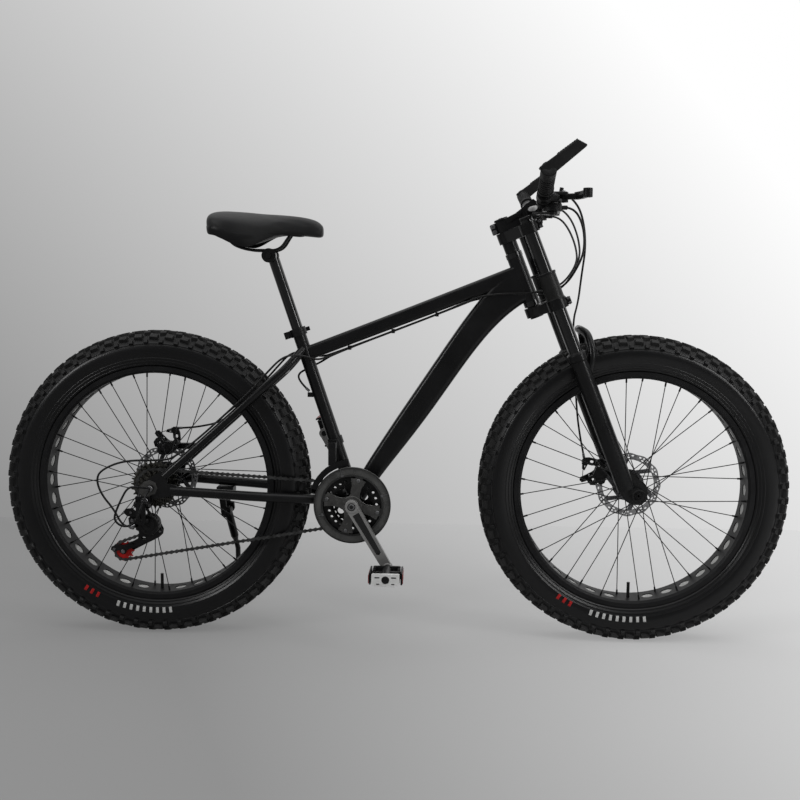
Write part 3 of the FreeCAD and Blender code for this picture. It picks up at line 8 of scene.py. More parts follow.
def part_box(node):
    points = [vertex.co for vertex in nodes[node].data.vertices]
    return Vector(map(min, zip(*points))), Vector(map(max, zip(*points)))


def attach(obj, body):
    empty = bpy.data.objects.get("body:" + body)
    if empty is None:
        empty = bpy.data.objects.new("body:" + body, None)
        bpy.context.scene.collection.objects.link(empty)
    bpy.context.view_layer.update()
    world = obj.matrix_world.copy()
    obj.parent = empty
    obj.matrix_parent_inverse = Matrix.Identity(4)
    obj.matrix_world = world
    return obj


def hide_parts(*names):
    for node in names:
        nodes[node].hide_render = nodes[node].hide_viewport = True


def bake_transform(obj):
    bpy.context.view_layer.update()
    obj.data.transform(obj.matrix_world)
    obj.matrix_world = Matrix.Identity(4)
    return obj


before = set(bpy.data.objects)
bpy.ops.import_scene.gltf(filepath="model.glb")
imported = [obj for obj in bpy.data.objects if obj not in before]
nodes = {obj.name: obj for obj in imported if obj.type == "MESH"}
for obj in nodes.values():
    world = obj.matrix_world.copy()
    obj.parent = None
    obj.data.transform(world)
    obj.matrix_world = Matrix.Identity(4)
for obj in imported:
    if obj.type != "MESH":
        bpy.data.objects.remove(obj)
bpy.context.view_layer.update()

FRONT_AXLE = Vector((0.577, 0, 0.3725))
REAR_AXLE = Vector((-0.577, 0, 0.3725))
CRANK_CENTRE = Vector((-0.096, 0, 0.337))
TIRE_R = 0.3725
DISC_Y = {"front": 48, "rear": 60}
CRANK_LENGTH = 170


# Camera

def aim_camera():
    yaw, pitch, roll = -0.0369, -0.1102, 0.0087
    ahead = Vector((math.sin(yaw) * math.cos(pitch), math.cos(yaw) * math.cos(pitch), math.sin(pitch)))
    right = Vector((math.cos(yaw), -math.sin(yaw), 0))
    up = right.cross(ahead)
    level = right * math.cos(roll) + up * math.sin(roll)
    upright = up * math.cos(roll) - right * math.sin(roll)
    camera = bpy.data.objects.new("camera", bpy.data.cameras.new("camera"))
    camera.data.lens = 48.2
    camera.data.sensor_width = 36
    turn = Matrix((level, upright, -ahead)).transposed().to_4x4()
    camera.matrix_world = Matrix.Translation((0.108, -2.583, 0.867)) @ turn
    bpy.context.scene.collection.objects.link(camera)
    bpy.context.scene.camera = camera


aim_camera()


# Cables, each on the route that its housing takes from lever to brake or derailleur

CABLE_ROUTES = {
    "rear_shift_cable": (
        (0.383, -0.1619, 1.033), (0.402, -0.159, 1.032), (0.424, -0.140, 1.000), (0.434, -0.112, 0.955),
        (0.429, -0.090, 0.915), (0.395, -0.046, 0.852), (0.331, -0.034, 0.843), (0.205, -0.030, 0.838),
        (0.150, -0.008, 0.8084), (-0.150, -0.008, 0.6914), (-0.185, -0.024, 0.676), (-0.222, -0.034, 0.690),
        (-0.262, -0.060, 0.690), (-0.300, -0.078, 0.650), (-0.344, -0.080, 0.600), (-0.515, -0.092, 0.444),
        (-0.560, -0.097, 0.440), (-0.640, -0.097, 0.439), (-0.697, -0.097, 0.414), (-0.706, -0.097, 0.388),
        (-0.693, -0.097, 0.354), (-0.665, -0.097, 0.320), (-0.647, -0.097, 0.284), (-0.627, -0.099, 0.278),
        (-0.614, -0.099, 0.284)),
    "front_shift_cable": (
        (0.383, 0.1619, 1.033), (0.402, 0.159, 1.032), (0.425, 0.137, 1.003), (0.440, 0.095, 0.955),
        (0.440, 0.062, 0.912), (0.398, 0.046, 0.856), (0.331, 0.034, 0.843), (0.205, 0.030, 0.838),
        (0.150, 0.000, 0.8084), (-0.150, 0.000, 0.6914), (-0.178, 0.020, 0.672), (-0.212, 0.026, 0.655),
        (-0.240, 0.014, 0.640), (-0.228, 0.000, 0.618), (-0.208, 0.000, 0.600)),
    "rear_brake_cable": (
        (0.3889, 0.1642, 1.0552), (0.397, 0.146, 1.0568), (0.428, 0.128, 1.030), (0.447, 0.100, 0.975),
        (0.448, 0.072, 0.920), (0.402, 0.054, 0.846), (0.331, 0.042, 0.834), (0.200, 0.037, 0.830),
        (0.150, 0.008, 0.8084), (-0.150, 0.008, 0.6914), (-0.185, 0.026, 0.682), (-0.222, 0.036, 0.692),
        (-0.262, 0.060, 0.690), (-0.300, 0.078, 0.650), (-0.344, 0.080, 0.600), (-0.400, 0.088, 0.545),
        (-0.446, 0.093, 0.508), (-0.500, 0.086, 0.497), (-0.530, 0.078, 0.495), (-0.5513, 0.077, 0.4943)),
    "front_brake_cable_housing": (
        (0.3889, -0.1642, 1.0552), (0.397, -0.146, 1.0568), (0.424, -0.126, 1.025), (0.440, -0.090, 0.955),
        (0.440, -0.020, 0.885), (0.444, 0.060, 0.820), (0.438, 0.114, 0.770), (0.448, 0.118, 0.640),
        (0.455, 0.112, 0.540), (0.461, 0.084, 0.484), (0.466, 0.0625, 0.452), (0.469, 0.061, 0.4348)),
}
CABLE_R = 0.0025


def routed_tube(name, points):
    """A smooth tube along a route."""
    curve = bpy.data.curves.new(name, "CURVE")
    curve.dimensions = "3D"
    curve.bevel_depth = CABLE_R
    curve.bevel_resolution = 3
    curve.resolution_u = 8
    curve.use_fill_caps = True
    spline = curve.splines.new("NURBS")
    spline.points.add(len(points) - 1)
    for point, place in zip(spline.points, points):
        point.co = (*place, 1.0)
    spline.order_u = 3
    spline.use_endpoint_u = True
    holder = bpy.data.objects.new(name, curve)
    bpy.context.scene.collection.objects.link(holder)
    bpy.context.view_layer.update()
    mesh = bpy.data.meshes.new_from_object(holder.evaluated_get(bpy.context.evaluated_depsgraph_get()))
    bpy.data.objects.remove(holder)
    mesh.name = name
    mesh.polygons.foreach_set("use_smooth", [True] * len(mesh.polygons))
    cable = bpy.data.objects.new(name, mesh)
    bpy.context.scene.collection.objects.link(cable)
    return cable


cables = {name: routed_tube(name, points) for name, points in CABLE_ROUTES.items()}
for name, cable in cables.items():
    if name == "front_brake_cable_housing":
        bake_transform(cable)
        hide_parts("front_brake_cable")
    else:
        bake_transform(cable)
        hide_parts("rear_cables")


# Finishes

def blank(name):
    material = bpy.data.materials.new(name)
    material.use_nodes = True
    tree = material.node_tree
    return material, tree, tree.nodes["Principled BSDF"]


def add(tree, kind, **values):
    node = tree.nodes.new("ShaderNode" + kind)
    for key, value in values.items():
        if hasattr(node, key):
            setattr(node, key, value)
        else:
            node.inputs[key.replace("_", " ")].default_value = value
    return node


def noise(tree, scale, detail=3.0):
    pattern = add(tree, "TexNoise", Scale=scale, Detail=detail)
    tree.links.new(add(tree, "TexCoord").outputs["Object"], pattern.inputs["Vector"])
    return pattern.outputs["Fac"]


def ranged(tree, value, low, high, start=0.3, end=0.7):
    node = add(tree, "MapRange")
    for key, number in (("From Min", start), ("From Max", end), ("To Min", low), ("To Max", high)):
        node.inputs[key].default_value = number
    tree.links.new(value, node.inputs["Value"])
    return node.outputs["Result"]


def mixed(tree, share, first, second):
    node = add(tree, "Mix", data_type="RGBA")
    tree.links.new(share, node.inputs["Factor"])
    for socket, colour in (("A", first), ("B", second)):
        target = [s for s in node.inputs if s.name == socket and s.type == "RGBA"][0]
        if isinstance(colour, (tuple, list)):
            target.default_value = (*colour, 1.0)
        else:
            tree.links.new(colour, target)
    return [s for s in node.outputs if s.type == "RGBA"][0]


def raised(tree, height, distance, strength=1.0):
    node = add(tree, "Bump", Strength=strength, Distance=distance)
    tree.links.new(height, node.inputs["Height"])
    return node.outputs["Normal"]


def finish(name, colour, rough, metal=0.0, tone=0.3, patch=18.0, grain=900.0, relief=0.00008, coat=0.0,
           spread=0.08, shine=0.22):
    """A surface with cloudy tone, fine grain in relief and roughness that varies with both."""
    material, tree, shader = blank(name)
    cloud = noise(tree, patch, 4.0)
    fine = noise(tree, grain, 2.0)
    dark = [c * (1 - tone) for c in colour]
    light = [c * (1 + tone) for c in colour]
    tree.links.new(mixed(tree, ranged(tree, cloud, 0, 1), dark, light), shader.inputs["Base Color"])
    tree.links.new(ranged(tree, cloud, rough - spread, rough + spread), shader.inputs["Roughness"])
    tree.links.new(raised(tree, fine, relief), shader.inputs["Normal"])
    shader.inputs["Metallic"].default_value = metal
    shader.inputs["Specular IOR Level"].default_value = shine
    shader.inputs["Coat Weight"].default_value = coat
    shader.inputs["Coat Roughness"].default_value = 0.15
    return material


def from_axle(tree, axle):
    """Distance from an axle along Y, and distance from the middle plane."""
    place = add(tree, "Mapping")
    place.inputs["Location"].default_value = (-axle.x, 0, -axle.z)
    tree.links.new(add(tree, "TexCoord").outputs["Object"], place.inputs["Vector"])
    flat = add(tree, "VectorMath", operation="MULTIPLY")
    flat.inputs[1].default_value = (1, 0, 1)
    tree.links.new(place.outputs[0], flat.inputs[0])
    reach = add(tree, "VectorMath", operation="LENGTH")
    tree.links.new(flat.outputs[0], reach.inputs[0])
    axes = add(tree, "SeparateXYZ")
    tree.links.new(place.outputs[0], axes.inputs[0])
    side = add(tree, "Math", operation="ABSOLUTE")
    tree.links.new(axes.outputs["Y"], side.inputs[0])
    return reach.outputs["Value"], side.outputs[0]


def stepped(tree, value, limit, above=True):
    node = add(tree, "Math", operation="GREATER_THAN" if above else "LESS_THAN")
    tree.links.new(value, node.inputs[0])
    node.inputs[1].default_value = limit
    return node.outputs[0]


def both(tree, first, second):
    node = add(tree, "Math", operation="MULTIPLY")
    tree.links.new(first, node.inputs[0])
    tree.links.new(second, node.inputs[1])
    return node.outputs[0]


def rim_finish(name, axle):
    """Black hoop, paler inside, with fine turning marks."""
    material, tree, shader = blank(name)
    reach, side = from_axle(tree, axle)
    cloud = noise(tree, 22.0)
    black = mixed(tree, ranged(tree, cloud, 0, 1), (0.006, 0.006, 0.0065), (0.011, 0.011, 0.0115))
    strip = both(tree, stepped(tree, reach, 0.27352), stepped(tree, side, 0.0203, False))
    tree.links.new(mixed(tree, strip, black, (0.40, 0.40, 0.39)), shader.inputs["Base Color"])
    rings = add(tree, "TexNoise", noise_dimensions="1D", Scale=1800.0, Detail=2.0)
    tree.links.new(reach, rings.inputs["W"])
    tree.links.new(ranged(tree, rings.outputs["Fac"], 0.34, 0.50), shader.inputs["Roughness"])
    tree.links.new(raised(tree, rings.outputs["Fac"], 0.00002), shader.inputs["Normal"])
    shader.inputs["Specular IOR Level"].default_value = 0.15
    return material


def tire_finish(name, axle):
    """Rubber, dustier on the tread than on the walls."""
    material, tree, shader = blank(name)
    reach = from_axle(tree, axle)[0]
    cloud = noise(tree, 9.0, 4.0)
    fine = noise(tree, 1100.0, 2.0)
    wall = mixed(tree, ranged(tree, cloud, 0, 1), (0.0024, 0.0024, 0.0027), (0.0045, 0.0045, 0.0049))
    dust = ranged(tree, noise(tree, 70.0), 0, 1)
    tread = mixed(tree, dust, (0.0070, 0.0070, 0.0072), (0.0150, 0.0147, 0.0143))
    share = ranged(tree, reach, 0, 1, 0.344, 0.370)
    tree.links.new(mixed(tree, share, wall, tread), shader.inputs["Base Color"])
    tree.links.new(ranged(tree, reach, 0.30, 0.62, 0.341, 0.352), shader.inputs["Roughness"])
    tree.links.new(raised(tree, fine, 0.00006), shader.inputs["Normal"])
    shader.inputs["Specular IOR Level"].default_value = 0.30
    return material


def rotor_finish(name, axle):
    """Steel turned in fine rings about the axle, darker on the carrier."""
    material, tree, shader = blank(name)
    reach = from_axle(tree, axle)[0]
    rings = add(tree, "TexNoise", noise_dimensions="1D", Scale=2500.0, Detail=2.0)
    tree.links.new(reach, rings.inputs["W"])
    cloud = noise(tree, 60.0)
    steel = mixed(tree, ranged(tree, cloud, 0, 1), (0.20, 0.20, 0.205), (0.36, 0.36, 0.365))
    track = stepped(tree, reach, 0.064)
    tree.links.new(mixed(tree, track, (0.10, 0.10, 0.105), steel), shader.inputs["Base Color"])
    tree.links.new(ranged(tree, rings.outputs["Fac"], 0.22, 0.42), shader.inputs["Roughness"])
    tree.links.new(raised(tree, rings.outputs["Fac"], 0.00004), shader.inputs["Normal"])
    shader.inputs["Metallic"].default_value = 1.0
    return material


def vinyl_finish(name):
    """Grained synthetic leather."""
    material, tree, shader = blank(name)
    cells = add(tree, "TexVoronoi", feature="DISTANCE_TO_EDGE", Scale=420.0)
    tree.links.new(add(tree, "TexCoord").outputs["Object"], cells.inputs["Vector"])
    creases = ranged(tree, cells.outputs["Distance"], 0, 1, 0.0, 0.12)
    cloud = noise(tree, 14.0)
    colour = mixed(tree, ranged(tree, cloud, 0, 1), (0.0044, 0.0044, 0.0047), (0.0080, 0.0080, 0.0085))
    tree.links.new(colour, shader.inputs["Base Color"])
    tree.links.new(ranged(tree, cloud, 0.42, 0.56), shader.inputs["Roughness"])
    tree.links.new(raised(tree, creases, 0.00018, 0.6), shader.inputs["Normal"])
    shader.inputs["Sheen Weight"].default_value = 0.05
    shader.inputs["Specular IOR Level"].default_value = 0.34
    return material


FINISHES = {
    "front_rim": rim_finish("front_rim", FRONT_AXLE),
    "rear_rim": rim_finish("rear_rim", REAR_AXLE),
    "front_tire": tire_finish("front_tire", FRONT_AXLE),
    "rear_tire": tire_finish("rear_tire", REAR_AXLE),
    "front_rotor": rotor_finish("front_rotor", FRONT_AXLE),
    "rear_rotor": rotor_finish("rear_rotor", REAR_AXLE),
    "saddle_vinyl": vinyl_finish("saddle_vinyl"),
    "rim_strip": finish("rim_strip", (0.46, 0.46, 0.45), 0.8, tone=0.15, patch=400, grain=1600,
                        relief=0.00004),
    "mark_white": finish("mark_white", (0.52, 0.52, 0.51), 0.6, tone=0.12, patch=120),
    "mark_red": finish("mark_red", (0.36, 0.012, 0.012), 0.6, tone=0.15, patch=120),
    "reflector_red": finish("reflector_red", (0.22, 0.010, 0.008), 0.16, tone=0.3, patch=300,
                            relief=0.0002, shine=0.5),
    "frame_satin": finish("frame_satin", (0.0042, 0.0042, 0.0045), 0.32, grain=650, relief=0.00003, coat=0.08),
    "gloss_black": finish("gloss_black", (0.0032, 0.0032, 0.0035), 0.15, tone=0.2, relief=0.00001, coat=0.3,
                          spread=0.03, shine=0.4),
    "sleeve_grey": finish("sleeve_grey", (0.014, 0.014, 0.0135), 0.46),
    "moulded_black": finish("moulded_black", (0.0055, 0.0055, 0.0058), 0.40, grain=1400, relief=0.00006),
    "rubber": finish("rubber", (0.009, 0.009, 0.0095), 0.66, tone=0.35, patch=9, grain=1100,
                     relief=0.00012, shine=0.25),
    "grip_rubber": finish("grip_rubber", (0.0060, 0.0060, 0.0060), 0.60, grain=1500, relief=0.0001,
                          shine=0.25),
    "black_steel": finish("black_steel", (0.016, 0.016, 0.0165), 0.36, metal=0.6, relief=0.00003),
    "spoke_steel": finish("spoke_steel", (0.030, 0.030, 0.031), 0.34, metal=0.8, relief=0.00002),
    "bolt_steel": finish("bolt_steel", (0.20, 0.20, 0.205), 0.34, metal=1.0, relief=0.00004),
    "chain_steel": finish("chain_steel", (0.070, 0.070, 0.070), 0.36, metal=0.9, tone=0.5, patch=60,
                          spread=0.12),
    # The cassette's strong cloudy tone paints glints: pale flecks that stand in for highlights on the sprocket
    # teeth.
    "cassette_steel_painted_glints": finish("cassette_steel_painted_glints", (0.060, 0.058, 0.052), 0.30, metal=0.85, tone=0.85, patch=170,
                             spread=0.16, grain=500, relief=0.0003),
    "crank_grey": finish("crank_grey", (0.25, 0.247, 0.243), 0.38, metal=0.4, tone=0.2, relief=0.00004),
    "ring_black": finish("ring_black", (0.012, 0.012, 0.012), 0.32, metal=0.5, tone=0.4, patch=50),
    "spider_grey": finish("spider_grey", (0.075, 0.074, 0.072), 0.26, metal=0.5, tone=0.3, patch=40,
                          relief=0.00004),
    "guard_grey": finish("guard_grey", (0.060, 0.060, 0.058), 0.30, tone=0.3, patch=30, relief=0.00006,
                         shine=0.4),
    "guard_edge": finish("guard_edge", (0.026, 0.026, 0.0255), 0.32, tone=0.2, relief=0.00004),
    "silver_alloy": finish("silver_alloy", (0.72, 0.72, 0.71), 0.36, metal=0.3, tone=0.12, relief=0.00006),
    "pulley_red": finish("pulley_red", (0.40, 0.010, 0.008), 0.42, tone=0.2, relief=0.00005),
    "cable_black": finish("cable_black", (0.008, 0.008, 0.008), 0.36, relief=0.00004),
}

WHEEL_FINISH = {"tire": "rubber", "inner_tube": "moulded_black", "hub": "black_steel", "spokes": "spoke_steel",
                "axle": "black_steel"}
NODE_FINISH = {
    "main_frame": "frame_satin", "rear_triangle": "frame_satin", "headset": "gloss_black",
    "bottom_bracket": "black_steel", "seat_clamp": "moulded_black", "seat_clamp_lever": "black_steel",
    "seatpost": "gloss_black", "saddle_base": "moulded_black", "saddle_clamp": "black_steel",
    "saddle_cover": "saddle_vinyl", "front_rim": "front_rim", "rear_rim": "rear_rim",
    "front_rotor": "front_rotor", "rear_rotor": "rear_rotor", "fork_crowns": "frame_satin",
    "stanchions": "gloss_black", "stanchion_sleeves": "sleeve_grey",
    "fork_lowers": "frame_satin", "stem": "frame_satin",
    "handlebar": "gloss_black", "grips": "grip_rubber", "lever_mounts": "moulded_black",
    "right_brake_lever": "black_steel", "left_brake_lever": "black_steel", "right_shift_lever": "moulded_black",
    "left_shift_lever": "moulded_black", "chain": "chain_steel", "crank_axle": "black_steel",
    "crank_arms": "crank_grey", "chainrings": "ring_black", "chain_guard": "guard_grey",
    "right_pedal": "silver_alloy", "left_pedal": "silver_alloy", "freewheel": "cassette_steel_painted_glints",
    "front_derailleur_clamp": "moulded_black", "front_derailleur_cage": "black_steel",
    "rear_derailleur_mount": "moulded_black", "rear_derailleur_link": "moulded_black",
    "rear_derailleur_knuckle": "moulded_black", "rear_derailleur_cage": "black_steel",
    "upper_pulley": "moulded_black", "lower_pulley": "pulley_red", "front_caliper": "moulded_black",
    "rear_caliper": "moulded_black", "front_caliper_arm": "black_steel", "rear_caliper_arm": "black_steel",
    "kickstand_bracket": "moulded_black", "kickstand_leg": "frame_satin",
}
for wheel in ("front", "rear"):
    for part, name in WHEEL_FINISH.items():
        NODE_FINISH[wheel + "_" + part] = name


def dress(piece, name):
    piece.data.materials.clear()
    piece.data.materials.append(FINISHES[name])


for node, name in NODE_FINISH.items():
    dress(nodes[node], name)
for cable in cables.values():
    dress(cable, "cable_black")


# Shaping helpers

def keep(bm, name, body, material, replaces=()):
    mesh = bpy.data.meshes.new(name)
    bm.normal_update()
    bm.to_mesh(mesh)
    bm.free()
    piece = bpy.data.objects.new(name, mesh)
    bpy.context.scene.collection.objects.link(piece)
    dress(piece, material)
    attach(piece, body)
    if replaces:
        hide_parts(*replaces)
    return piece


def smooth_under(bm, degrees):
    limit = math.radians(degrees)
    for face in bm.faces:
        face.smooth = True
    for edge in bm.edges:
        edge.smooth = len(edge.link_faces) == 2 and edge.calc_face_angle(0) < limit


# Tires: a spun casing with rounded, ridged walls, and knobs copied round the tread

KNOB_PITCHES = 60
KNOB_SINK = 0.003
WALL_R, WALL_Y = 0.326, 0.0505
WALL_RADII = (0.346, 0.3415, 0.337, 0.3335, 0.330, 0.326, 0.322, 0.318, 0.314, 0.307, 0.300, 0.293)
RIDGE_RADII = (0.3415, 0.307, 0.300, 0.293)
RIDGE_SECTION = ((-0.0002, 0.0014), (0.0005, 0.0005), (0.0005, -0.0005), (-0.0002, -0.0014))


def casing_profile():
    """The section as closed y, r points, from the tread's middle round the left wall and the inside."""
    tread = ((0.0, 0.0070), (0.009, 0.0070), (0.018, 0.0077), (0.026, 0.0098), (0.034, 0.0138),
             (0.0405, 0.0195))
    half = [(y, TIRE_R - drop) for y, drop in tread]
    for r in WALL_RADII:
        y = WALL_Y - (7.13 if r < WALL_R else 15.0) * (r - WALL_R) ** 2
        if r in RIDGE_RADII:
            half += [(y + out, r + along) for out, along in RIDGE_SECTION]
        else:
            half.append((y, r))
    half += [(0.0412, 0.2895), (0.0366, 0.2873), (0.0366, 0.2775), (0.031, 0.2775)]
    half += [(0.032, 0.2905), (0.0462, 0.326), (0.041, 0.3475), (0.014, 0.3612)]
    return half


def spun(bm, points, centre, steps):
    """Turns a closed y, r outline, given for one side, about an axle along Y."""
    ring = [(y, r) for y, r in points] + [(-y, r) for y, r in reversed(points) if y > 1e-6]
    verts = [bm.verts.new((centre.x, y, centre.z + r)) for y, r in ring]
    edges = [bm.edges.new((a, b)) for a, b in zip(verts, verts[1:] + verts[:1])]
    bmesh.ops.spin(bm, geom=verts + edges, cent=centre, axis=(0, 1, 0), angle=2 * math.pi, steps=steps,
                   use_merge=True)
    bmesh.ops.recalc_face_normals(bm, faces=bm.faces[:])


def knob(bm, centre, y, drop, tilt, size, turn, height):
    """One tapered block standing on the casing at the top of the wheel."""
    made = bmesh.ops.create_cube(bm, size=1.0)["verts"]
    bmesh.ops.scale(bm, verts=made, vec=(size[0], size[1], height + KNOB_SINK))
    top = [v for v in made if v.co.z > 0]
    bmesh.ops.scale(bm, verts=top, vec=(0.84, 0.84, 1.0))
    faces = {f for v in made for f in v.link_faces}
    crown = [f for f in faces if all(v in top for v in f.verts)]
    floor = [f for f in faces if not any(v in top for v in f.verts)]
    bmesh.ops.delete(bm, geom=floor, context="FACES_ONLY")
    rim = bmesh.ops.inset_region(bm, faces=crown, thickness=0.0011, depth=0.0)["faces"]
    bmesh.ops.translate(bm, verts=crown[0].verts[:], vec=(0, 0, 0.0006))
    verts = list({v for f in rim for v in f.verts} | {v for v in made if v.is_valid} | set(crown[0].verts))
    place = (Matrix.Translation((centre.x, y, centre.z + TIRE_R - drop))
             @ Matrix.Rotation(-tilt, 4, "X") @ Matrix.Rotation(turn, 4, "Z")
             @ Matrix.Translation((0, 0, (height - KNOB_SINK) / 2)))
    bmesh.ops.transform(bm, matrix=place, verts=verts)
    return verts


# Each row's y, drop below the tread, tilt, size along and across, turn, height and phase
KNOB_ROWS = (
    (0.0085, 0.0070, 2.0, (0.020, 0.0135), 14.0, 0.0064, 0.0),
    (0.0245, 0.0095, 14.0, (0.017, 0.0130), -16.0, 0.0066, 0.5),
    (0.0375, 0.0165, 36.0, (0.022, 0.0140), 6.0, 0.0066, 0.0),
    (0.0455, 0.0260, 58.0, (0.011, 0.0100), 0.0, 0.0042, 0.5),
)


def build_tire(name, centre, body):
    bm = bmesh.new()
    spun(bm, casing_profile(), centre, 240)
    smooth_under(bm, 55)
    pitch = 2 * math.pi / KNOB_PITCHES
    for y, drop, tilt, size, turn, height, phase in KNOB_ROWS:
        for side in (-1, 1):
            lean, twist = side * math.radians(tilt), side * math.radians(turn)
            verts = knob(bm, centre, side * y, drop, lean, size, twist, height)
            offset = (phase + (0.5 if side > 0 else 0.0)) * pitch
            bmesh.ops.rotate(bm, verts=verts, cent=centre, matrix=Matrix.Rotation(offset, 3, "Y"))
            edges = list({e for v in verts for e in v.link_edges})
            geom = verts + edges + list({f for v in verts for f in v.link_faces})
            bmesh.ops.spin(bm, geom=geom, cent=centre, axis=(0, 1, 0), angle=2 * math.pi - pitch,
                           steps=KNOB_PITCHES - 1, use_duplicate=True)
    keep(bm, name + "_tire_tread", body, name + "_tire", [name + "_tire"])


build_tire("front", FRONT_AXLE, "front_wheel")
build_tire("rear", REAR_AXLE, "rear_wheel")


# Saddle: a lofted foam form swelled under its cover

# Each section's x, half width, bottom and top
SADDLE_SECTIONS = (
    (-0.4485, 0.030, 0.993, 1.012), (-0.4465, 0.050, 0.984, 1.019), (-0.436, 0.068, 0.973, 1.027),
    (-0.412, 0.0785, 0.962, 1.0300), (-0.385, 0.079, 0.955, 1.0285), (-0.350, 0.069, 0.948, 1.0255),
    (-0.312, 0.052, 0.961, 1.0215), (-0.276, 0.038, 0.974, 1.0205), (-0.225, 0.026, 0.973, 1.0185),
    (-0.195, 0.0215, 0.970, 1.0115), (-0.185, 0.0185, 0.969, 1.006), (-0.177, 0.0145, 0.970, 0.999),
    (-0.1735, 0.009, 0.975, 0.993))


def section_matrix(section):
    x, half, bottom, top = section
    return Matrix.Translation((x, 0, (bottom + top) / 2)) @ Matrix.Diagonal((1, half, (top - bottom) / 2, 1))


def loft_saddle():
    bm = bmesh.new()
    verts = bmesh.ops.create_circle(bm, segments=32, radius=1.0)["verts"]
    across = Matrix(((0, 0, 1, 0), (1, 0, 0, 0), (0, 1, 0, 0), (0, 0, 0, 1)))
    bmesh.ops.transform(bm, matrix=across, verts=verts)
    for vert in verts:
        vert.co.y = math.copysign(abs(vert.co.y) ** 0.72, vert.co.y)
        vert.co.z = math.copysign(abs(vert.co.z) ** (0.85 if vert.co.z > 0 else 0.6), vert.co.z)
    bmesh.ops.transform(bm, matrix=section_matrix(SADDLE_SECTIONS[0]), verts=verts)
    edges = bm.edges[:]
    ends = [edges]
    for before, after in zip(SADDLE_SECTIONS, SADDLE_SECTIONS[1:]):
        made = bmesh.ops.extrude_edge_only(bm, edges=edges)["geom"]
        edges = [item for item in made if isinstance(item, bmesh.types.BMEdge)]
        edges = [edge for edge in edges if len(edge.link_faces) == 1]
        verts = list({vert for edge in edges for vert in edge.verts})
        bmesh.ops.transform(bm, matrix=section_matrix(after) @ section_matrix(before).inverted(), verts=verts)
    ends.append(edges)
    for end in ends:
        bmesh.ops.edgeloop_fill(bm, edges=end)
    bmesh.ops.recalc_face_normals(bm, faces=bm.faces[:])
    return bm


def swell(piece, limit):
    """Blows the cover out from its foam, no further than limit."""
    rest = [vert.co.copy() for vert in piece.data.vertices]
    held = piece.vertex_groups.new(name="sill")
    low = [v.index for v in piece.data.vertices if v.normal.z < -0.35]
    held.add(low, 1.0, "REPLACE")
    cover = piece.modifiers.new("cover", "CLOTH")
    cover.settings.use_pressure = True
    cover.settings.uniform_pressure_force = 4.0
    cover.settings.effector_weights.gravity = 0.0
    cover.settings.vertex_group_mass = "sill"
    cover.point_cache.frame_end = 20
    for step in range(1, 21):
        bpy.context.scene.frame_set(step)
    swollen = piece.evaluated_get(bpy.context.evaluated_depsgraph_get()).data
    goals = [vert.co.copy() for vert in swollen.vertices]
    piece.modifiers.remove(cover)
    bpy.context.scene.frame_set(1)
    for vert, start, goal in zip(piece.data.vertices, rest, goals):
        step = goal - start
        vert.co = start + step * min(1.0, limit / max(step.length, 1e-9))


def build_saddle():
    piece = keep(loft_saddle(), "saddle_padding", "saddle", "saddle_vinyl", ["saddle_cover"])
    shape = piece.modifiers.new("rounding", "SUBSURF")
    shape.levels = shape.render_levels = 2
    rounded = bpy.data.meshes.new_from_object(piece.evaluated_get(bpy.context.evaluated_depsgraph_get()))
    piece.modifiers.remove(shape)
    piece.data = rounded
    swell(piece, 0.002)
    piece.data.polygons.foreach_set("use_smooth", [True] * len(piece.data.polygons))


build_saddle()


# Details: each is made in millimetres at the origin, then joined in its place

MM = 0.001
STEER = Matrix.Translation((0.304, 0, 0.875)) @ Matrix.Rotation(math.radians(-21.7), 4, "Y")
CRANK = Matrix.Translation(CRANK_CENTRE) @ Matrix.Rotation(math.radians(59.5), 4, "Y")
MIRROR = Matrix.Diagonal((1, -1, 1, 1))
UPRIGHT = Matrix.Rotation(math.pi / 2, 4, "X")
SIDES = (Matrix.Identity(4), MIRROR)


def at(x, y, z):
    return Matrix.Translation((x * MM, y * MM, z * MM))


def facing(x, y, z):
    """Turns a detail whose outer face looks along -Y to look along x, y, z."""
    return Vector((0, -1, 0)).rotation_difference(Vector((x, y, z))).to_matrix().to_4x4()


def about_y(degrees):
    return Matrix.Rotation(math.radians(degrees), 4, "Y")


def joined(bm, make, place):
    own = bmesh.new()
    make(own)
    bmesh.ops.remove_doubles(own, verts=own.verts[:], dist=1e-4)
    bmesh.ops.recalc_face_normals(own, faces=own.faces[:])
    bmesh.ops.transform(own, matrix=place @ Matrix.Scale(MM, 4), verts=own.verts[:])
    if place.determinant() < 0:
        bmesh.ops.reverse_faces(own, faces=own.faces[:])
    mesh = bpy.data.meshes.new("joined")
    own.to_mesh(mesh)
    own.free()
    bm.from_mesh(mesh)
    bpy.data.meshes.remove(mesh)


def turned(profile, steps=32):
    """Turns (y, radius) points about the Y axis."""
    def make(bm):
        verts = [bm.verts.new((radius, y, 0)) for y, radius in profile]
        edges = [bm.edges.new(pair) for pair in zip(verts, verts[1:])]
        bmesh.ops.spin(bm, geom=verts + edges, cent=(0, 0, 0), axis=(0, 1, 0), angle=2 * math.pi,
                       steps=steps, use_merge=True)
    return make


def hoop(y0, y1, inner, outer, ease=0.8, steps=48):
    """A ring with eased outer corners."""
    return turned([(y0, inner), (y0, outer - ease), (y0 + ease, outer), (y1 - ease, outer),
                   (y1, outer - ease), (y1, inner), (y0, inner)], steps)


def screw(radius, height):
    """A round head with a recessed middle, standing out along -Y."""
    return turned([(1, radius), (-0.75 * height, radius), (-height, 0.86 * radius), (-height, 0.56 * radius),
                   (-0.3 * height, 0.5 * radius), (-0.3 * height, 0)], 20)


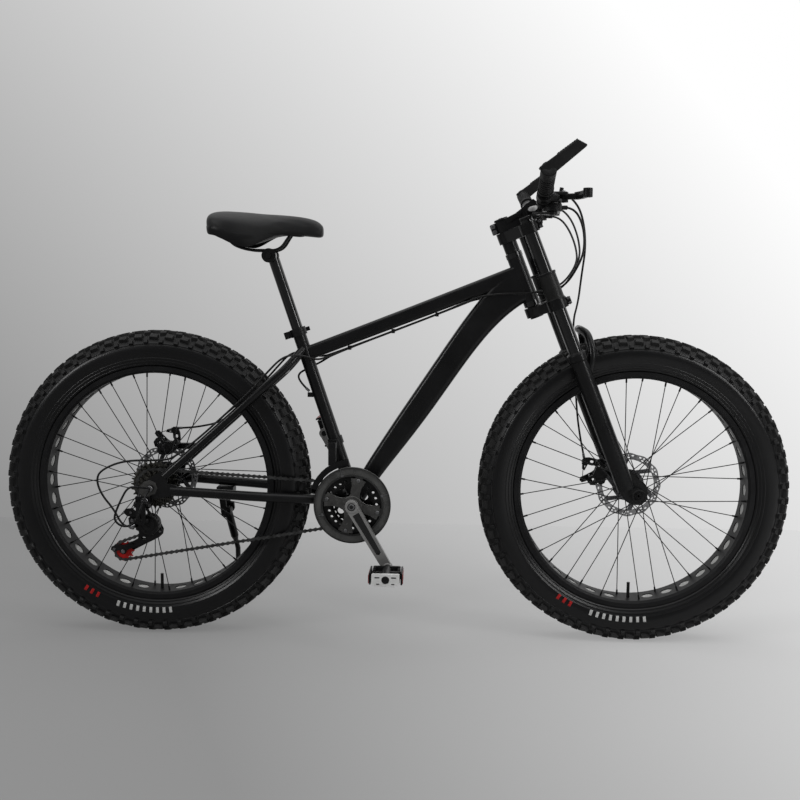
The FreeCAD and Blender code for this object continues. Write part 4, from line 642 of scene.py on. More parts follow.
def nut(radius, height):
    """A six-sided head with eased corners, standing out along -Y."""
    def make(bm):
        place = Matrix.Translation((0, -height / 2, 0)) @ UPRIGHT
        bmesh.ops.create_cone(bm, cap_ends=True, segments=6, radius1=radius, radius2=radius, depth=height,
                              matrix=place)
        bmesh.ops.bevel(bm, geom=bm.edges[:], offset=radius * 0.1, segments=2, profile=0.5, affect="EDGES",
                        material=-1)
    return make


def block(size, middle, ease=0.8):
    def make(bm):
        place = Matrix.Translation(middle) @ Matrix.Diagonal((*size, 1))
        bmesh.ops.create_cube(bm, size=1.0, matrix=place)
        bmesh.ops.bevel(bm, geom=bm.edges[:], offset=ease, segments=2, profile=0.5, affect="EDGES", material=-1)
    return make


def plate(outline, depth, ease=0.6):
    """An x, z outline thickened along +Y, with eased edges."""
    def make(bm):
        bm.faces.new([bm.verts.new((x, 0, z)) for x, z in outline])
        bmesh.ops.solidify(bm, geom=bm.faces[:], thickness=depth)
        low = min(vert.co.y for vert in bm.verts)
        bmesh.ops.translate(bm, verts=bm.verts[:], vec=(0, -low, 0))
        bmesh.ops.bevel(bm, geom=bm.edges[:], offset=ease, segments=2, profile=0.5, affect="EDGES", material=-1)
    return make


def pierced(outline, holes, depth):
    """An x, z outline with round or oval holes, each x, z and two radii, thickened along +Y."""
    def make(bm):
        verts = [bm.verts.new((x, 0, z)) for x, z in outline]
        for pair in zip(verts, verts[1:] + verts[:1]):
            bm.edges.new(pair)
        for x, z, wide, tall in holes:
            place = Matrix.Translation((x, 0, z)) @ Matrix.Diagonal((wide, 1, tall, 1)) @ UPRIGHT
            bmesh.ops.create_circle(bm, segments=12, radius=1.0, matrix=place)
        bmesh.ops.triangle_fill(bm, edges=bm.edges[:], use_beauty=True, normal=(0, 1, 0))
        bmesh.ops.solidify(bm, geom=bm.faces[:], thickness=depth)
        low = min(vert.co.y for vert in bm.verts)
        bmesh.ops.translate(bm, verts=bm.verts[:], vec=(0, -low, 0))
    return make


def done(bm, name, body, material, replaces=()):
    smooth_under(bm, 35)
    return keep(bm, name, body, material, replaces)


# Wheels: rim strips, brake discs and side marks

def build_rim_strip(name, axle):
    """The woven strip inside the rim that shows through its holes."""
    bm = bmesh.new()
    joined(bm, turned([(-20, 272.6), (20, 272.6), (20, 273.4), (-20, 273.4), (-20, 272.6)], 180),
           Matrix.Translation(axle))
    done(bm, name + "_rim_strip", name + "_wheel", "rim_strip", ())


DISC_HOLES = ((74.6, 0, 2.2, 2.2), (72.5, 9.5, 2.0, 3.4), (72.5, -9.5, 2.0, 3.4), (68.3, 0, 1.8, 4.6))


def brake_disc(bm):
    """A waved track with holes, on swept arms."""
    for vert in bmesh.ops.create_circle(bm, segments=180, radius=78.6, matrix=UPRIGHT)["verts"]:
        vert.co *= 1 + 0.017 * math.cos(12 * math.atan2(vert.co.z, vert.co.x))
    bmesh.ops.create_circle(bm, segments=48, radius=17.4, matrix=UPRIGHT)
    for petal in range(12):
        turn = about_y(30 * petal)
        for x, z, wide, tall in DISC_HOLES:
            place = turn @ Matrix.Translation((x, 0, z)) @ Matrix.Diagonal((wide, 1, tall, 1)) @ UPRIGHT
            bmesh.ops.create_circle(bm, segments=10, radius=1.0, matrix=place)
    for window in range(6):
        start = 60 * window
        inner = [(39.0, start + angle) for angle in (15, 25, 35, 45, 53)]
        outer = [(63.5, start + angle) for angle in (80, 70, 60, 50, 40, 31)]
        loop = [about_y(angle) @ Vector((radius, 0, 0)) for radius, angle in inner + outer]
        verts = [bm.verts.new(point) for point in loop]
        for pair in zip(verts, verts[1:] + verts[:1]):
            bm.edges.new(pair)
    bmesh.ops.triangle_fill(bm, edges=bm.edges[:], use_beauty=True, normal=(0, 1, 0))
    bmesh.ops.solidify(bm, geom=bm.faces[:], thickness=1.8)


def build_brake_disc(name, axle, y):
    bm = bmesh.new()
    middle = Matrix.Translation(axle)
    joined(bm, brake_disc, middle @ at(0, y, 0))
    done(bm, name + "_brake_disc", name + "_wheel", name + "_rotor", [name + "_rotor"])
    bm = bmesh.new()
    for bolt in range(6):
        joined(bm, screw(3.8, 2.4), middle @ about_y(60 * bolt + 30) @ at(22, y + 1, 0) @ facing(0, 1, 0))
    joined(bm, hoop(y + 0.9, y + 3, 17.3, 20), middle)
    done(bm, name + "_disc_bolts", name + "_wheel", "black_steel", ())


# Each group's first angle, sweep and finish
SIDE_MARKS = ((236, 9, "mark_red"), (252, 26, "mark_white"))


def build_side_marks(name, axle):
    """Plain raised bars, a few red and a row of white, low on each side wall at rest."""
    for start, sweep, material in SIDE_MARKS:
        bm = bmesh.new()
        for side in SIDES:
            for angle in range(start, start + sweep, 3):
                bar = block((15, 0.5, 7), (313, -49.9, 0), 0.2)
                joined(bm, bar, Matrix.Translation(axle) @ side @ about_y(-angle))
        done(bm, name + "_" + material, name + "_wheel", material, ())


for wheel, axle in (("front", FRONT_AXLE), ("rear", REAR_AXLE)):
    build_rim_strip(wheel, axle)
    build_brake_disc(wheel, axle, DISC_Y[wheel])
    build_side_marks(wheel, axle)


# Brake calipers

CALIPER_SIDE = (
    (58, -8), (62, -16), (69, -17), (71, -25), (86, -31), (97, -27), (96, -18), (90, -14), (91, 8), (99, 15),
    (98, 27), (88, 33), (79, 30), (74, 22), (64, 24), (57, 16))
CALIPER_HOLES = (
    (83, -20, 4.6, 4.4), (86, 19, 4.6, 4.6), (67, -6, 3.0, 4.6), (66, 10, 3.0, 4.4), (81, 0, 3.2, 6.0))
STOP_BRACKET = (
    (88, -24), (95, -31), (112, -29), (126, -23), (126, -11), (119, -9), (119, 4), (112, 6), (110, -11),
    (99, -12), (92, -16))
STOP_HOLES = ((103, -21, 4.6, 3.4), (115, -3, 1.8, 3.6))
LEVER_SIDE = (
    (66, -8), (76, -12), (85, -9), (93, 4), (104, 16), (114, 26), (113, 34), (106, 37), (98, 31), (88, 15),
    (80, 10), (68, 9))
ADJUSTER = (
    (13, 3.2), (12.5, 4.6), (9, 4.6), (8.5, 3.4), (7, 3.4), (6.5, 5.0), (1, 5.0), (0, 4.2), (0, 0))


def build_caliper(name, axle, angle, arm_y, body):
    """A pierced body astride the disc, its bolts, and the lever with its inner wire."""
    disc_y = DISC_Y[name]
    place = Matrix.Translation(axle) @ about_y(-angle)
    bm = bmesh.new()
    joined(bm, pierced(CALIPER_SIDE, CALIPER_HOLES, 6), place @ at(0, disc_y - 10, 0))
    joined(bm, pierced(CALIPER_SIDE, CALIPER_HOLES, arm_y - disc_y - 5), place @ at(0, disc_y + 4, 0))
    middle_y = (arm_y + disc_y - 11) / 2
    for x, z in ((91, -25), (93, 22), (80, 27)):
        joined(bm, block((8, arm_y - disc_y + 9, 5), (x, middle_y, z)), place)
    for shift in (-2.9, 2.9):
        joined(bm, block((22, 3.2, 24), (70, disc_y + shift, 0)), place)
    pod = [(-4, 12), (0, 12), (0.8, 11.2), (0.8, 9.5), (1.4, 9), (1.4, 4.2), (-4, 4.2)]
    joined(bm, turned(pod), place @ at(76, arm_y, 0))
    joined(bm, turned([(0, 13), (0.4, 13), (1, 12), (1, 5.4), (0.4, 4.8), (0.4, 0)]),
           place @ at(74, disc_y - 11, 0) @ facing(0, 1, 0))
    joined(bm, pierced(STOP_BRACKET, STOP_HOLES, 5.6), place @ at(0, arm_y - 5.8, 0))
    done(bm, name + "_caliper_body", body, "moulded_black", [name + "_caliper"])
    bm = bmesh.new()
    for x, z in ((90, -24), (92, 21)):
        joined(bm, nut(4.4, 4), place @ at(x, disc_y - 10, z))
        joined(bm, screw(4.6, 4), place @ at(x, arm_y, z) @ facing(0, 1, 0))
    joined(bm, screw(5.5, 3), place @ at(76, arm_y + 7.6, 0) @ facing(0, 1, 0))
    along = Vector((-6, 0, 21))
    joined(bm, turned([(along.length, 3.2), *ADJUSTER], 14),
           place @ at(122, arm_y + 2.4, -19) @ facing(*-along.normalized()))
    done(bm, name + "_caliper_bolts", body, "black_steel", ())
    bm = bmesh.new()
    joined(bm, pierced(LEVER_SIDE, ((96, 16, 2.0, 4.4),), 4.1), place @ at(0, arm_y + 1.4, 0))
    joined(bm, hoop(0, 7, 4.3, 9), place @ at(76, arm_y + 1.4, 0))
    joined(bm, nut(4.2, 4), place @ at(107, arm_y + 5.5, 30) @ facing(0, 1, 0))
    wire_end = Vector((107, arm_y + 3.4, 30))
    wire_way = wire_end - Vector((116, arm_y + 2.4, 2))
    inner_wire = turned([(0, 0), (0, 0.9), (wire_way.length, 0.9), (wire_way.length, 0)], 8)
    joined(bm, inner_wire, place @ at(*wire_end) @ facing(*wire_way.normalized()))
    arm = name + "_caliper_arm"
    done(bm, name + "_caliper_lever", arm, "black_steel", [arm])


build_caliper("front", FRONT_AXLE, 160, 58, "fork_lowers")
build_caliper("rear", REAR_AXLE, 88, 74, "frame")


# Chainset

ARM_FACE_Y = -106.6
SPIDER_Y = -91
SPIDER_TURNS = (44.5, 134.5, 224.5, 314.5)
SPIDER_ARM = (
    (12, -17), (30, -11.5), (46, -12), (64, -18), (66, -8), (66, 8), (64, 18), (46, 12), (30, 11.5), (12, 17))


def arm_border(bm):
    """A tapered raised border that leaves the arm's middle bare."""
    corners = ((17, 0, -13), (158, 0, -9.6), (158, 0, 9.6), (17, 0, 13))
    bm.faces.new([bm.verts.new(point) for point in corners])
    bmesh.ops.bevel(bm, geom=bm.verts[:], offset=4, segments=4, profile=0.5, affect="VERTICES", material=-1)
    face = bm.faces[:][0]
    bmesh.ops.inset_region(bm, faces=[face], thickness=4.2, depth=0.0)
    bmesh.ops.delete(bm, geom=[face], context="FACES_ONLY")
    bmesh.ops.solidify(bm, geom=bm.faces[:], thickness=1.8)


def build_chainset():
    left = CRANK @ about_y(180) @ MIRROR
    bm = bmesh.new()
    for place in (CRANK, left):
        joined(bm, arm_border, place @ at(0, ARM_FACE_Y, 0))
        joined(bm, hoop(-107.4, -105, 9.7, 16, 1.2), place)
        joined(bm, hoop(-107.2, -105, 6.6, 12.3, 1.0), place @ at(CRANK_LENGTH, 0, 0))
    done(bm, "crank_arm_faces", "crank", "crank_grey", ())
    bm = bmesh.new()
    for place in (CRANK, left):
        inlay = plate(((20, -8.4), (128, -5.8), (132, 0), (128, 5.8), (20, 8.4)), 0.9, 0.3)
        joined(bm, inlay, place @ at(0, ARM_FACE_Y, 0))
        cap = turned([(-105, 9.5), (-107.6, 9.2), (-108, 8.4), (-108, 4.2), (-106.4, 4), (-106.4, 0)])
        joined(bm, cap, place)
    done(bm, "crank_arm_inlays", "crank", "gloss_black", ())
    bm = bmesh.new()
    for place in (CRANK, left):
        joined(bm, hoop(-108.5, -107.5, 4.6, 7.2, 0.4), place)
    for turn in SPIDER_TURNS:
        joined(bm, screw(4.2, 2.2), CRANK @ about_y(turn) @ at(62, SPIDER_Y, 0))
    done(bm, "crank_bolts", "crank", "bolt_steel", ())
    bm = bmesh.new()
    for turn in SPIDER_TURNS:
        joined(bm, plate(SPIDER_ARM, 4.5, 1.8), CRANK @ about_y(turn) @ at(0, SPIDER_Y, 0))
    joined(bm, hoop(-92, -87, 14, 24, 1.5), CRANK)
    done(bm, "crank_spider_cover", "crank", "spider_grey", ())
    bm = bmesh.new()
    joined(bm, hoop(-86.2, -84.4, 70, 74.5, 0.6, 96), CRANK)
    joined(bm, hoop(-87.4, -84.4, 88.8, 91.9, 0.8, 96), CRANK)
    done(bm, "guard_rims", "crank", "guard_edge", ())
    bm = bmesh.new()
    for clip in range(4):
        place = CRANK @ about_y(12 + 90 * clip)
        joined(bm, block((18, 1.4, 2.2), (81, -85.2, 0), 0.4), place)
        joined(bm, block((5, 2.0, 7), (75, -85.4, 0), 0.6), place)
    done(bm, "guard_clips", "crank", "bolt_steel", ())


build_chainset()


# Pedals

PEDAL_PLATE = (
    (-32, 12), (-28, 13.5), (28, 13.5), (32, 12), (32, -8), (27, -13), (18, -16), (-18, -16), (-27, -13),
    (-32, -8))


def build_pedal(name, place):
    inner, outer, half = 112, 207, 29
    bm = bmesh.new()
    barrel = [(inner, 6.8), (inner, 10.4), (inner + 1, 11), (outer - 6, 11), (outer - 6, 6.8), (inner, 6.8)]
    joined(bm, turned(barrel), place)
    for side in (-1, 1):
        joined(bm, block((6, outer - inner - 10, 20), (side * half, (outer + inner) / 2 - 1, 0), 1.5), place)
        for tooth in range(5):
            for z in (10.5, -10.5):
                joined(bm, block((6, 5, 3), (side * half, inner + 20 + 14 * tooth, z), 0.8), place)
        for y in (inner + 37, inner + 67):
            joined(bm, block((8, 6, 8), (side * (half + 4), y, 0)), place)
        joined(bm, block((4.2, 63, 28), (side * (half + 7.2), (inner + outer) / 2 + 3, -1), 1.2), place)
    joined(bm, block((2 * half, 8, 20), (0, inner + 8, 0), 1.5), place)
    joined(bm, block((2 * half, 10, 14), (0, inner + 47, 0), 1.5), place)
    cap = ((-9, 9), (0.6, 8.6), (1.2, 7.8), (1.2, 3), (0.4, 2.6), (0.4, 0))
    joined(bm, turned([(outer + y, radius) for y, radius in cap]), place)
    for x in (-19, 19):
        joined(bm, block((11, 1.2, 2.6), (x, outer, 5.5), 0.4), place)
        joined(bm, block((7, 1.2, 2.2), (x * 0.9, outer, -9.5), 0.4), place)
    done(bm, name + "_body", name, "moulded_black", [name])
    bm = bmesh.new()
    joined(bm, pierced(PEDAL_PLATE, ((0, 0, 9.2, 9.2),), 8), place @ at(0, outer - 8.2, 0))
    done(bm, name + "_end_plate", name, "silver_alloy", ())
    bm = bmesh.new()
    for side in (-1, 1):
        joined(bm, block((1.6, 56, 21), (side * (half + 9.6), (inner + outer) / 2 + 3, -1), 0.5), place)
        for rib in range(7):
            joined(bm, block((1.6, 5, 19), (side * (half + 10.2), inner + 38 + 8 * rib, -1), 0.5), place)
    done(bm, name + "_reflectors", name, "reflector_red", ())


for name, reach, turn in (("right_pedal", CRANK_LENGTH, MIRROR), ("left_pedal", -CRANK_LENGTH, about_y(71.2))):
    build_pedal(name, Matrix.Translation(CRANK @ Vector((reach * MM, 0, 0))) @ turn)


# Rear derailleur

CAGE_SIDE = (
    (-612, 288), (-603, 295), (-590, 297), (-576, 291), (-563, 280), (-556, 266), (-558, 254), (-566, 246),
    (-580, 238), (-600, 228), (-626, 214), (-644, 203), (-658, 201), (-674, 207), (-682, 214), (-681, 221),
    (-673, 225), (-654, 227), (-632, 234), (-616, 243), (-613, 256), (-616, 272))
CAGE_FRONT = (
    (-612, 288), (-603, 295), (-590, 297), (-576, 291), (-563, 280), (-556, 266), (-558, 254), (-568, 246),
    (-582, 241), (-602, 233), (-626, 222), (-643, 214), (-647, 206), (-654, 204), (-660, 208), (-662, 214),
    (-676, 210), (-683, 215), (-681, 223), (-668, 227), (-648, 228), (-630, 236), (-616, 244), (-613, 256),
    (-616, 272))
KNUCKLE_RINGS = (
    (1, 23), (-1.4, 23), (-2.2, 22), (-2.2, 19), (-1, 18.2), (-1, 14.6), (-2.6, 14), (-3.6, 10.4), (-3.6, 5.6),
    (-2, 5), (-2, 0))
KNUCKLE_FOOT = ((-628, 282), (-612, 276), (-604, 284), (-606, 304), (-618, 312), (-630, 300))
KNUCKLE_EAR = ((-640, 314), (-632, 306), (-612, 304), (-607, 316), (-618, 326), (-634, 324))
LINK_SIDE = (
    (-607, 294), (-602, 288), (-590, 288), (-584, 295), (-583, 316), (-585, 338), (-590, 345), (-601, 345),
    (-607, 338))
HANGER_SIDE = (
    (-606, 334), (-607, 356), (-602, 376), (-592, 388), (-578, 392), (-565, 386), (-560, 372), (-566, 359),
    (-577, 355), (-584, 348), (-578, 338), (-586, 328), (-598, 326))
CAGE_HOLES = ((-578, 262, 5, 8), (-603, 245, 7, 3), (-628, 230, 4, 2))


def build_rear_derailleur():
    low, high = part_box("lower_pulley")
    pulley = [1000 * (a + b) / 2 for a, b in zip(low, high)]
    housing = at(-581, -100, 285)
    bm = bmesh.new()
    joined(bm, turned(KNUCKLE_RINGS, 48), housing)
    joined(bm, hoop(-1, 25, 22.8, 24, 0.8), housing)
    for tooth in range(9):
        joined(bm, block((3, 20, 4), (23.5, 12, 0), 0.8), housing @ about_y(20 * tooth - 60))
    joined(bm, plate(KNUCKLE_FOOT, 7, 1.4), at(0, -100, 0))
    joined(bm, plate(KNUCKLE_EAR, 5, 1.4), at(0, -104, 0))
    done(bm, "derailleur_knuckle_cap", "rear_derailleur_knuckle", "moulded_black", ())
    bm = bmesh.new()
    for x, z in ((-636, 318), (-630, 311)):
        place = at(x - 4, -101, z) @ facing(-1, 0, 0.25)
        joined(bm, turned([(14, 1.6), (2, 1.6), (2, 3), (0, 3), (0, 0)], 12), place)
        joined(bm, hoop(3, 9, 1.4, 2.6, 0.4, 14), place)
    barrel = turned([(13, 3), (12, 4.6), (3, 4.6), (2, 3.4), (0, 3.2), (0, 0)], 12)
    joined(bm, barrel, at(-629, -99, 279) @ facing(-1, 0, 0.2))
    joined(bm, nut(4.4, 4), at(-619, -104, 296))
    joined(bm, screw(3.2, 3), at(-622, -104.5, 315))
    done(bm, "derailleur_adjusters", "rear_derailleur_knuckle", "bolt_steel", ())
    bm = bmesh.new()
    joined(bm, pierced(LINK_SIDE, ((-595, 308, 3, 6), (-595, 325, 3, 6)), 2.4), at(0, -117.2, 0))
    for z in (297, 336):
        joined(bm, screw(4.0, 2), at(-595, -117, z))
    done(bm, "derailleur_link_plate", "rear_derailleur_link", "black_steel", ())
    bm = bmesh.new()
    joined(bm, pierced(HANGER_SIDE, ((-577, 372.5, 8, 8),), 2.4), at(0, -94.4, 0))
    done(bm, "derailleur_hanger", "frame", "spider_grey", ())
    bm = bmesh.new()
    joined(bm, hoop(-105.4, -103.8, 2.4, 7.4, 0.6), at(-577, 0, 372.5))
    joined(bm, nut(7.6, 4.5), at(-590, -102.6, 341))
    joined(bm, hoop(-104, -102, 5, 9.5), at(-590, 0, 341))
    for x in (-606, -601):
        joined(bm, screw(2.3, 5), at(x, -96, 352) @ facing(0, 0, 1))
    done(bm, "derailleur_hanger_bolt", "frame", "bolt_steel", ())
    bm = bmesh.new()
    joined(bm, pierced(CAGE_FRONT, CAGE_HOLES, 2), at(0, -71, 0))
    joined(bm, pierced(CAGE_SIDE, CAGE_HOLES[:2], 2), at(0, -57, 0))
    for x, z in ((-602, 279), pulley[::2]):
        joined(bm, hoop(-71, -55, 2, 3.2, 0.3, 20), at(x, 0, z))
    joined(bm, hoop(-95, -70, 3, 5, 0.6, 24), at(-602, 0, 279))
    cage = "rear_derailleur_cage"
    done(bm, "derailleur_cage_plates", cage, "black_steel", [cage])
    bm = bmesh.new()
    joined(bm, nut(5.2, 3.4), at(pulley[0], -71, pulley[2]))
    joined(bm, screw(3.4, 2.4), at(-675, -71, 216))
    joined(bm, screw(2.6, 2), at(-562, -71, 262))
    done(bm, "derailleur_pulley_bolts", cage, "bolt_steel", ())


build_rear_derailleur()

# A wire guard from the axle, round the derailleur and back
GUARD_ROD = (
    (-0.580, -0.107, 0.375), (-0.600, -0.113, 0.378), (-0.622, -0.126, 0.381), (-0.636, -0.138, 0.351),
    (-0.648, -0.142, 0.322), (-0.651, -0.142, 0.306), (-0.640, -0.142, 0.293), (-0.624, -0.142, 0.289),
    (-0.606, -0.142, 0.295), (-0.594, -0.142, 0.312), (-0.588, -0.138, 0.337), (-0.582, -0.124, 0.359),
    (-0.578, -0.107, 0.371))
guard_rod = routed_tube("derailleur_guard", GUARD_ROD)
dress(guard_rod, "black_steel")
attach(guard_rod, "frame")


# Fork, stem and controls

LEG_CAP = ((126, 15.2), (132, 15.2), (134, 13.5), (134, 9), (132.5, 8.4), (132.5, 0))
LEG_SEAL = ((-206, 23.4), (-203.5, 22.6), (-201.5, 19), (-199.8, 17), (-199.8, 16.2), (-207, 16.2))
SHIFTER_POD = (
    (0.5, 21.6), (5, 21.6), (5.5, 21), (9, 21), (9.5, 21.6), (14, 21.6), (17.4, 19), (18.6, 14), (18.6, 0))
LEVER_KNUCKLE = (390, -207, 1054)
LEVER_BALL = ((9.6, 5), (9.6, 9), (8.6, 10), (-8.6, 10), (-9.6, 9), (-9.6, 5), (9.6, 5))
BAR_BEND, BAR_END = Vector((334.5, -122, 1030.5)), Vector((326, -345, 1098))


def build_fork():
    legs = bmesh.new()
    bolts = bmesh.new()
    lower = bmesh.new()
    for side in SIDES:
        leg = STEER @ side @ at(48, -84, 0)
        for top, height, radius in ((-3, 6, 22.4), (-66, 5, 22.2)):
            joined(legs, hoop(top - height, top, 16.3, radius, 1.2), leg @ UPRIGHT)
        joined(legs, turned(LEG_CAP), leg @ UPRIGHT)
        for z, front in ((107, 25.5), (-81, 27)):
            for step in (-6, 6):
                joined(bolts, screw(3.8, 3.4), leg @ at(front, -8, z + step))
        joined(lower, turned(LEG_SEAL), leg @ UPRIGHT)
        joined(lower, hoop(-224, -221, 20.8, 22.4, 1.0), leg @ UPRIGHT)
        joined(lower, hoop(-106.4, -103, 13, 16.4, 1.0), Matrix.Translation(FRONT_AXLE) @ side)
    done(legs, "fork_sleeve_rings", "steer", "moulded_black", ())
    done(bolts, "fork_crown_bolts", "steer", "bolt_steel", ())
    done(lower, "fork_seals", "fork_lowers", "moulded_black", ())


def build_stem():
    bm = bmesh.new()
    joined(bm, block((14, 24, 26), (-23, 0, 134), 2.5), STEER)
    joined(bm, turned([(151, 16.8), (153, 15.8), (153, 8), (152, 7.4), (152, 0)]), STEER @ UPRIGHT)
    for y in (-20.2, 20.2):
        joined(bm, block((44, 2.4, 14), (44, y, 140), 1.0), STEER @ about_y(-6))
    done(bm, "stem_shell", "steer", "frame_satin", ())
    bm = bmesh.new()
    for z in (127.5, 140.5):
        joined(bm, screw(5.2, 4.5), STEER @ at(-24, -11.5, z))
        joined(bm, nut(4.6, 3.5), STEER @ at(-24, 11.5, z) @ facing(0, 1, 0))
    joined(bm, screw(5.0, 3), STEER @ at(0, 0, 151.5) @ facing(0, 0, 1))
    done(bm, "stem_bolts", "steer", "bolt_steel", ())


def bar_place(y):
    """A place on the bar's right-hand run, y millimetres out, with +Y inwards along the bar."""
    point = BAR_BEND.lerp(BAR_END, (y - 122) / 223)
    return at(*point) @ facing(*(BAR_END - BAR_BEND).normalized())


def cable_barrel(radius):
    """The ribbed end that a housing enters."""
    return turned([(12, 3.2), (9, radius), (1, radius), (0, 3.2), (0, 0)], 14)


def build_lever_cover(hand, side):
    bm = bmesh.new()
    knuckle = at(*LEVER_KNUCKLE) @ Matrix.Rotation(math.radians(-26), 4, "Z")
    joined(bm, block((30, 13, 13), (0, 0, 0), 3.5), side @ knuckle)
    joined(bm, turned(LEVER_BALL, 24), side @ at(411, -312, 1054) @ UPRIGHT)
    done(bm, hand + "_lever_cover", hand + "_brake_lever", "moulded_black", ())


def build_controls():
    plastic = bmesh.new()
    bolts = bmesh.new()
    for hand, side in zip(("right", "left"), SIDES):
        for y in (196, 215):
            joined(plastic, hoop(-3, 3, 11.2, 17.6, 1.2), side @ bar_place(y))
        joined(plastic, turned(SHIFTER_POD, 40), side @ at(352, -172, 1024) @ UPRIGHT)
        joined(plastic, block((20, 14, 4), (362, -170, 1044), 1.2), side)
        joined(plastic, cable_barrel(4.9), side @ at(387, -161, 1033) @ facing(0.97, 0.1, 0))
        joined(plastic, cable_barrel(5.0), side @ at(390.5, -162, 1055.5) @ facing(0.4, 0.9, 0.08))
        build_lever_cover(hand, side)
        for x, z in ((366, 1046), (352, 1058)):
            joined(bolts, screw(3.4, 3), side @ at(x, -207, z))
        joined(bolts, screw(3.6, 3), side @ at(374, -196, 1065) @ facing(0, 0, 1))
        joined(bolts, screw(3.0, 3), side @ at(352, -172, 1042) @ facing(0, 0, 1))
    done(plastic, "control_covers", "steer", "moulded_black", ())
    done(bolts, "control_screws", "steer", "bolt_steel", ())
    bm = bmesh.new()
    for side in SIDES:
        for rib in range(9):
            place = at(345 + 4.6 * rib, -334, 1131.2 + 3.4 * rib) @ about_y(-36)
            joined(bm, block((3.2, 22, 2.4), (0, 0, 0), 0.7), side @ place)
        plug = turned([(2, 15.4), (-1, 15.0), (-2, 13), (-2, 5), (-1.4, 4), (-1.4, 0)])
        joined(bm, plug, side @ bar_place(346))
    done(bm, "grip_ends", "steer", "grip_rubber", ())


def build_cable_ends():
    for name, points in CABLE_ROUTES.items():
        end, near = Vector(points[-1]), Vector(points[-2])
        bm = bmesh.new()
        ferrule = turned([(0, 0), (0, 3.3), (-11, 3.3), (-12, 2.4)], 16)
        joined(bm, ferrule, Matrix.Translation(end) @ facing(*(near - end).normalized()))
        body = "fork_lowers" if name.startswith("front_brake") else "frame"
        done(bm, name + "_ferrule", body, "bolt_steel", ())


build_fork()
build_stem()
build_controls()
build_cable_ends()


# Stand

STAND_AXIS = Vector((0.1415, 0.9203, 0.3647))


def build_stand():
    turn = Vector((0, 1, 0)).rotation_difference(STAND_AXIS)
    hinge = at(-429, 95, 282) @ turn.to_matrix().to_4x4()
    bm = bmesh.new()
    joined(bm, nut(8.5, 5), hinge @ at(0, -17, 0))
    joined(bm, nut(8.5, 5), hinge @ at(0, 17, 0) @ facing(0, 1, 0))
    for x in (-10, 10):
        joined(bm, nut(5, 4), at(-430 + x, 82, 333) @ facing(0, 0, -1))
    done(bm, "stand_bolts", "frame", "black_steel", ())


build_stand()


# Studio floor, backdrop and lights

FLOOR_GLOW = 0.6
DARKEST_TONE = 0.565


def figured(tree, operation, *values):
    node = add(tree, "Math", operation=operation)
    for socket, value in zip(node.inputs, values):
        if isinstance(value, (int, float)):
            socket.default_value = value
        else:
            tree.links.new(value, socket)
    return node.outputs[0]


def painted_falloff_tone(tree, base, across, back, twist, rise):
    """Grey that grows paler to the right, to the back and upwards: a painted falloff of light across the floor
    and backdrop.
    """
    axes = add(tree, "SeparateXYZ")
    tree.links.new(add(tree, "TexCoord").outputs["Object"], axes.inputs[0])
    slope = figured(tree, "MULTIPLY_ADD", axes.outputs["Y"], twist, across)
    tone = figured(tree, "MULTIPLY_ADD", axes.outputs["X"], slope, base)
    tone = figured(tree, "MULTIPLY_ADD", axes.outputs["Y"], back, tone)
    tone = figured(tree, "MULTIPLY_ADD", axes.outputs["Z"], rise, tone)
    tone = figured(tree, "MINIMUM", figured(tree, "MAXIMUM", tone, DARKEST_TONE), 1.0)
    return figured(tree, "POWER", tone, 2.2)


def stage_sheet(name, turn, shift):
    bm = bmesh.new()
    bmesh.ops.create_grid(bm, x_segments=1, y_segments=1, size=6.0)
    bmesh.ops.rotate(bm, verts=bm.verts, cent=(0, 0, 0), matrix=Matrix.Rotation(turn, 3, "X"))
    bmesh.ops.translate(bm, verts=bm.verts, vec=shift)
    sheet = bpy.data.objects.new(name, bpy.data.meshes.new(name))
    bm.to_mesh(sheet.data)
    bm.free()
    bpy.context.scene.collection.objects.link(sheet)
    return sheet


def seen_by(tree):
    path = add(tree, "LightPath")
    seen = figured(tree, "MAXIMUM", path.outputs["Is Camera Ray"], path.outputs["Is Glossy Ray"])
    return figured(tree, "MAXIMUM", seen, path.outputs["Is Transmission Ray"])


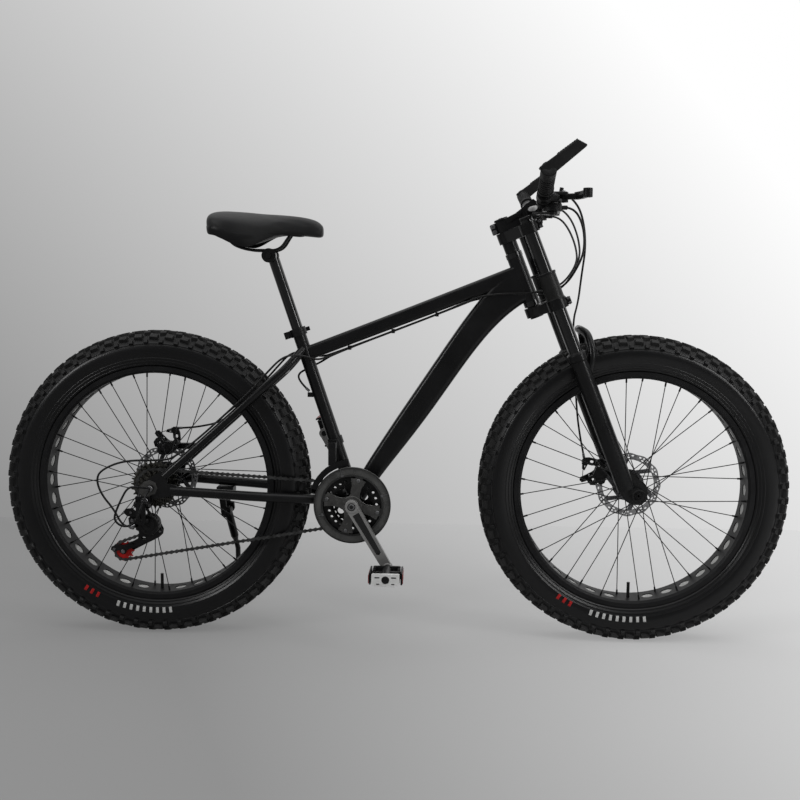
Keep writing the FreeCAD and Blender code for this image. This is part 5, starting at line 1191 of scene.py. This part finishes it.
def build_studio():
    floor = stage_sheet("floor", 0.0, (0, 0, 0))
    material, tree, shader = blank("floor_grey")
    # The floor's tone is a painted falloff of light, paler to the right and to the back.
    tone = painted_falloff_tone(tree, 0.664, 0.1608, 0.060, -0.0416, 0.0)
    tree.links.new(tone, shader.inputs["Base Color"])
    shader.inputs["Roughness"].default_value = 0.9
    shader.inputs["Specular IOR Level"].default_value = 0.0
    glow = add(tree, "Emission")
    tree.links.new(tone, glow.inputs["Color"])
    choice = add(tree, "MixShader")
    tree.links.new(figured(tree, "MULTIPLY", seen_by(tree), FLOOR_GLOW), choice.inputs["Fac"])
    tree.links.new(shader.outputs[0], choice.inputs[1])
    tree.links.new(glow.outputs[0], choice.inputs[2])
    tree.links.new(choice.outputs[0], tree.nodes["Material Output"].inputs["Surface"])
    floor.data.materials.append(material)
    wall = stage_sheet("backdrop", math.pi / 2, (0, 1.2, 6.0))
    material, tree, shader = blank("backdrop_grey")
    tree.nodes.remove(shader)
    glow = add(tree, "Emission")
    # The backdrop's glow is a painted falloff of light, paler to the right and upwards.
    tree.links.new(painted_falloff_tone(tree, 0.7224, 0.111, 0.0, 0.0, 0.111), glow.inputs["Color"])
    front = figured(tree, "SUBTRACT", 1.0, add(tree, "NewGeometry").outputs["Backfacing"])
    choice = add(tree, "MixShader")
    tree.links.new(both(tree, seen_by(tree), front), choice.inputs["Fac"])
    tree.links.new(add(tree, "BsdfTransparent").outputs[0], choice.inputs[1])
    tree.links.new(glow.outputs[0], choice.inputs[2])
    tree.links.new(choice.outputs[0], tree.nodes["Material Output"].inputs["Surface"])
    wall.data.materials.append(material)


def soft_lamp(name, at_point, towards, size, power):
    lamp = bpy.data.lights.new(name, "AREA")
    lamp.shape = "RECTANGLE"
    lamp.size, lamp.size_y = size
    lamp.energy = power
    holder = bpy.data.objects.new(name, lamp)
    aim = (Vector(towards) - Vector(at_point)).to_track_quat("-Z", "Y")
    holder.matrix_world = Matrix.Translation(at_point) @ aim.to_matrix().to_4x4()
    bpy.context.scene.collection.objects.link(holder)


def light_studio():
    world = bpy.data.worlds.new("studio")
    world.use_nodes = True
    backdrop = world.node_tree.nodes["Background"]
    backdrop.inputs["Color"].default_value = (0.96, 0.97, 0.98, 1)
    backdrop.inputs["Strength"].default_value = 0.22
    bpy.context.scene.world = world
    soft_lamp("overhead", (0.0, 0.0, 4.0), (0, 0, 0), (7.0, 5.0), 150)
    soft_lamp("front_left", (-3.6, -2.6, 2.4), (-0.3, 0, 0.6), (0.9, 1.4), 46)
    soft_lamp("front_right", (2.6, -1.6, 2.1), (0.2, 0, 0.7), (0.4, 2.0), 30)
    bpy.context.scene.view_settings.view_transform = "Standard"


build_studio()
light_studio()
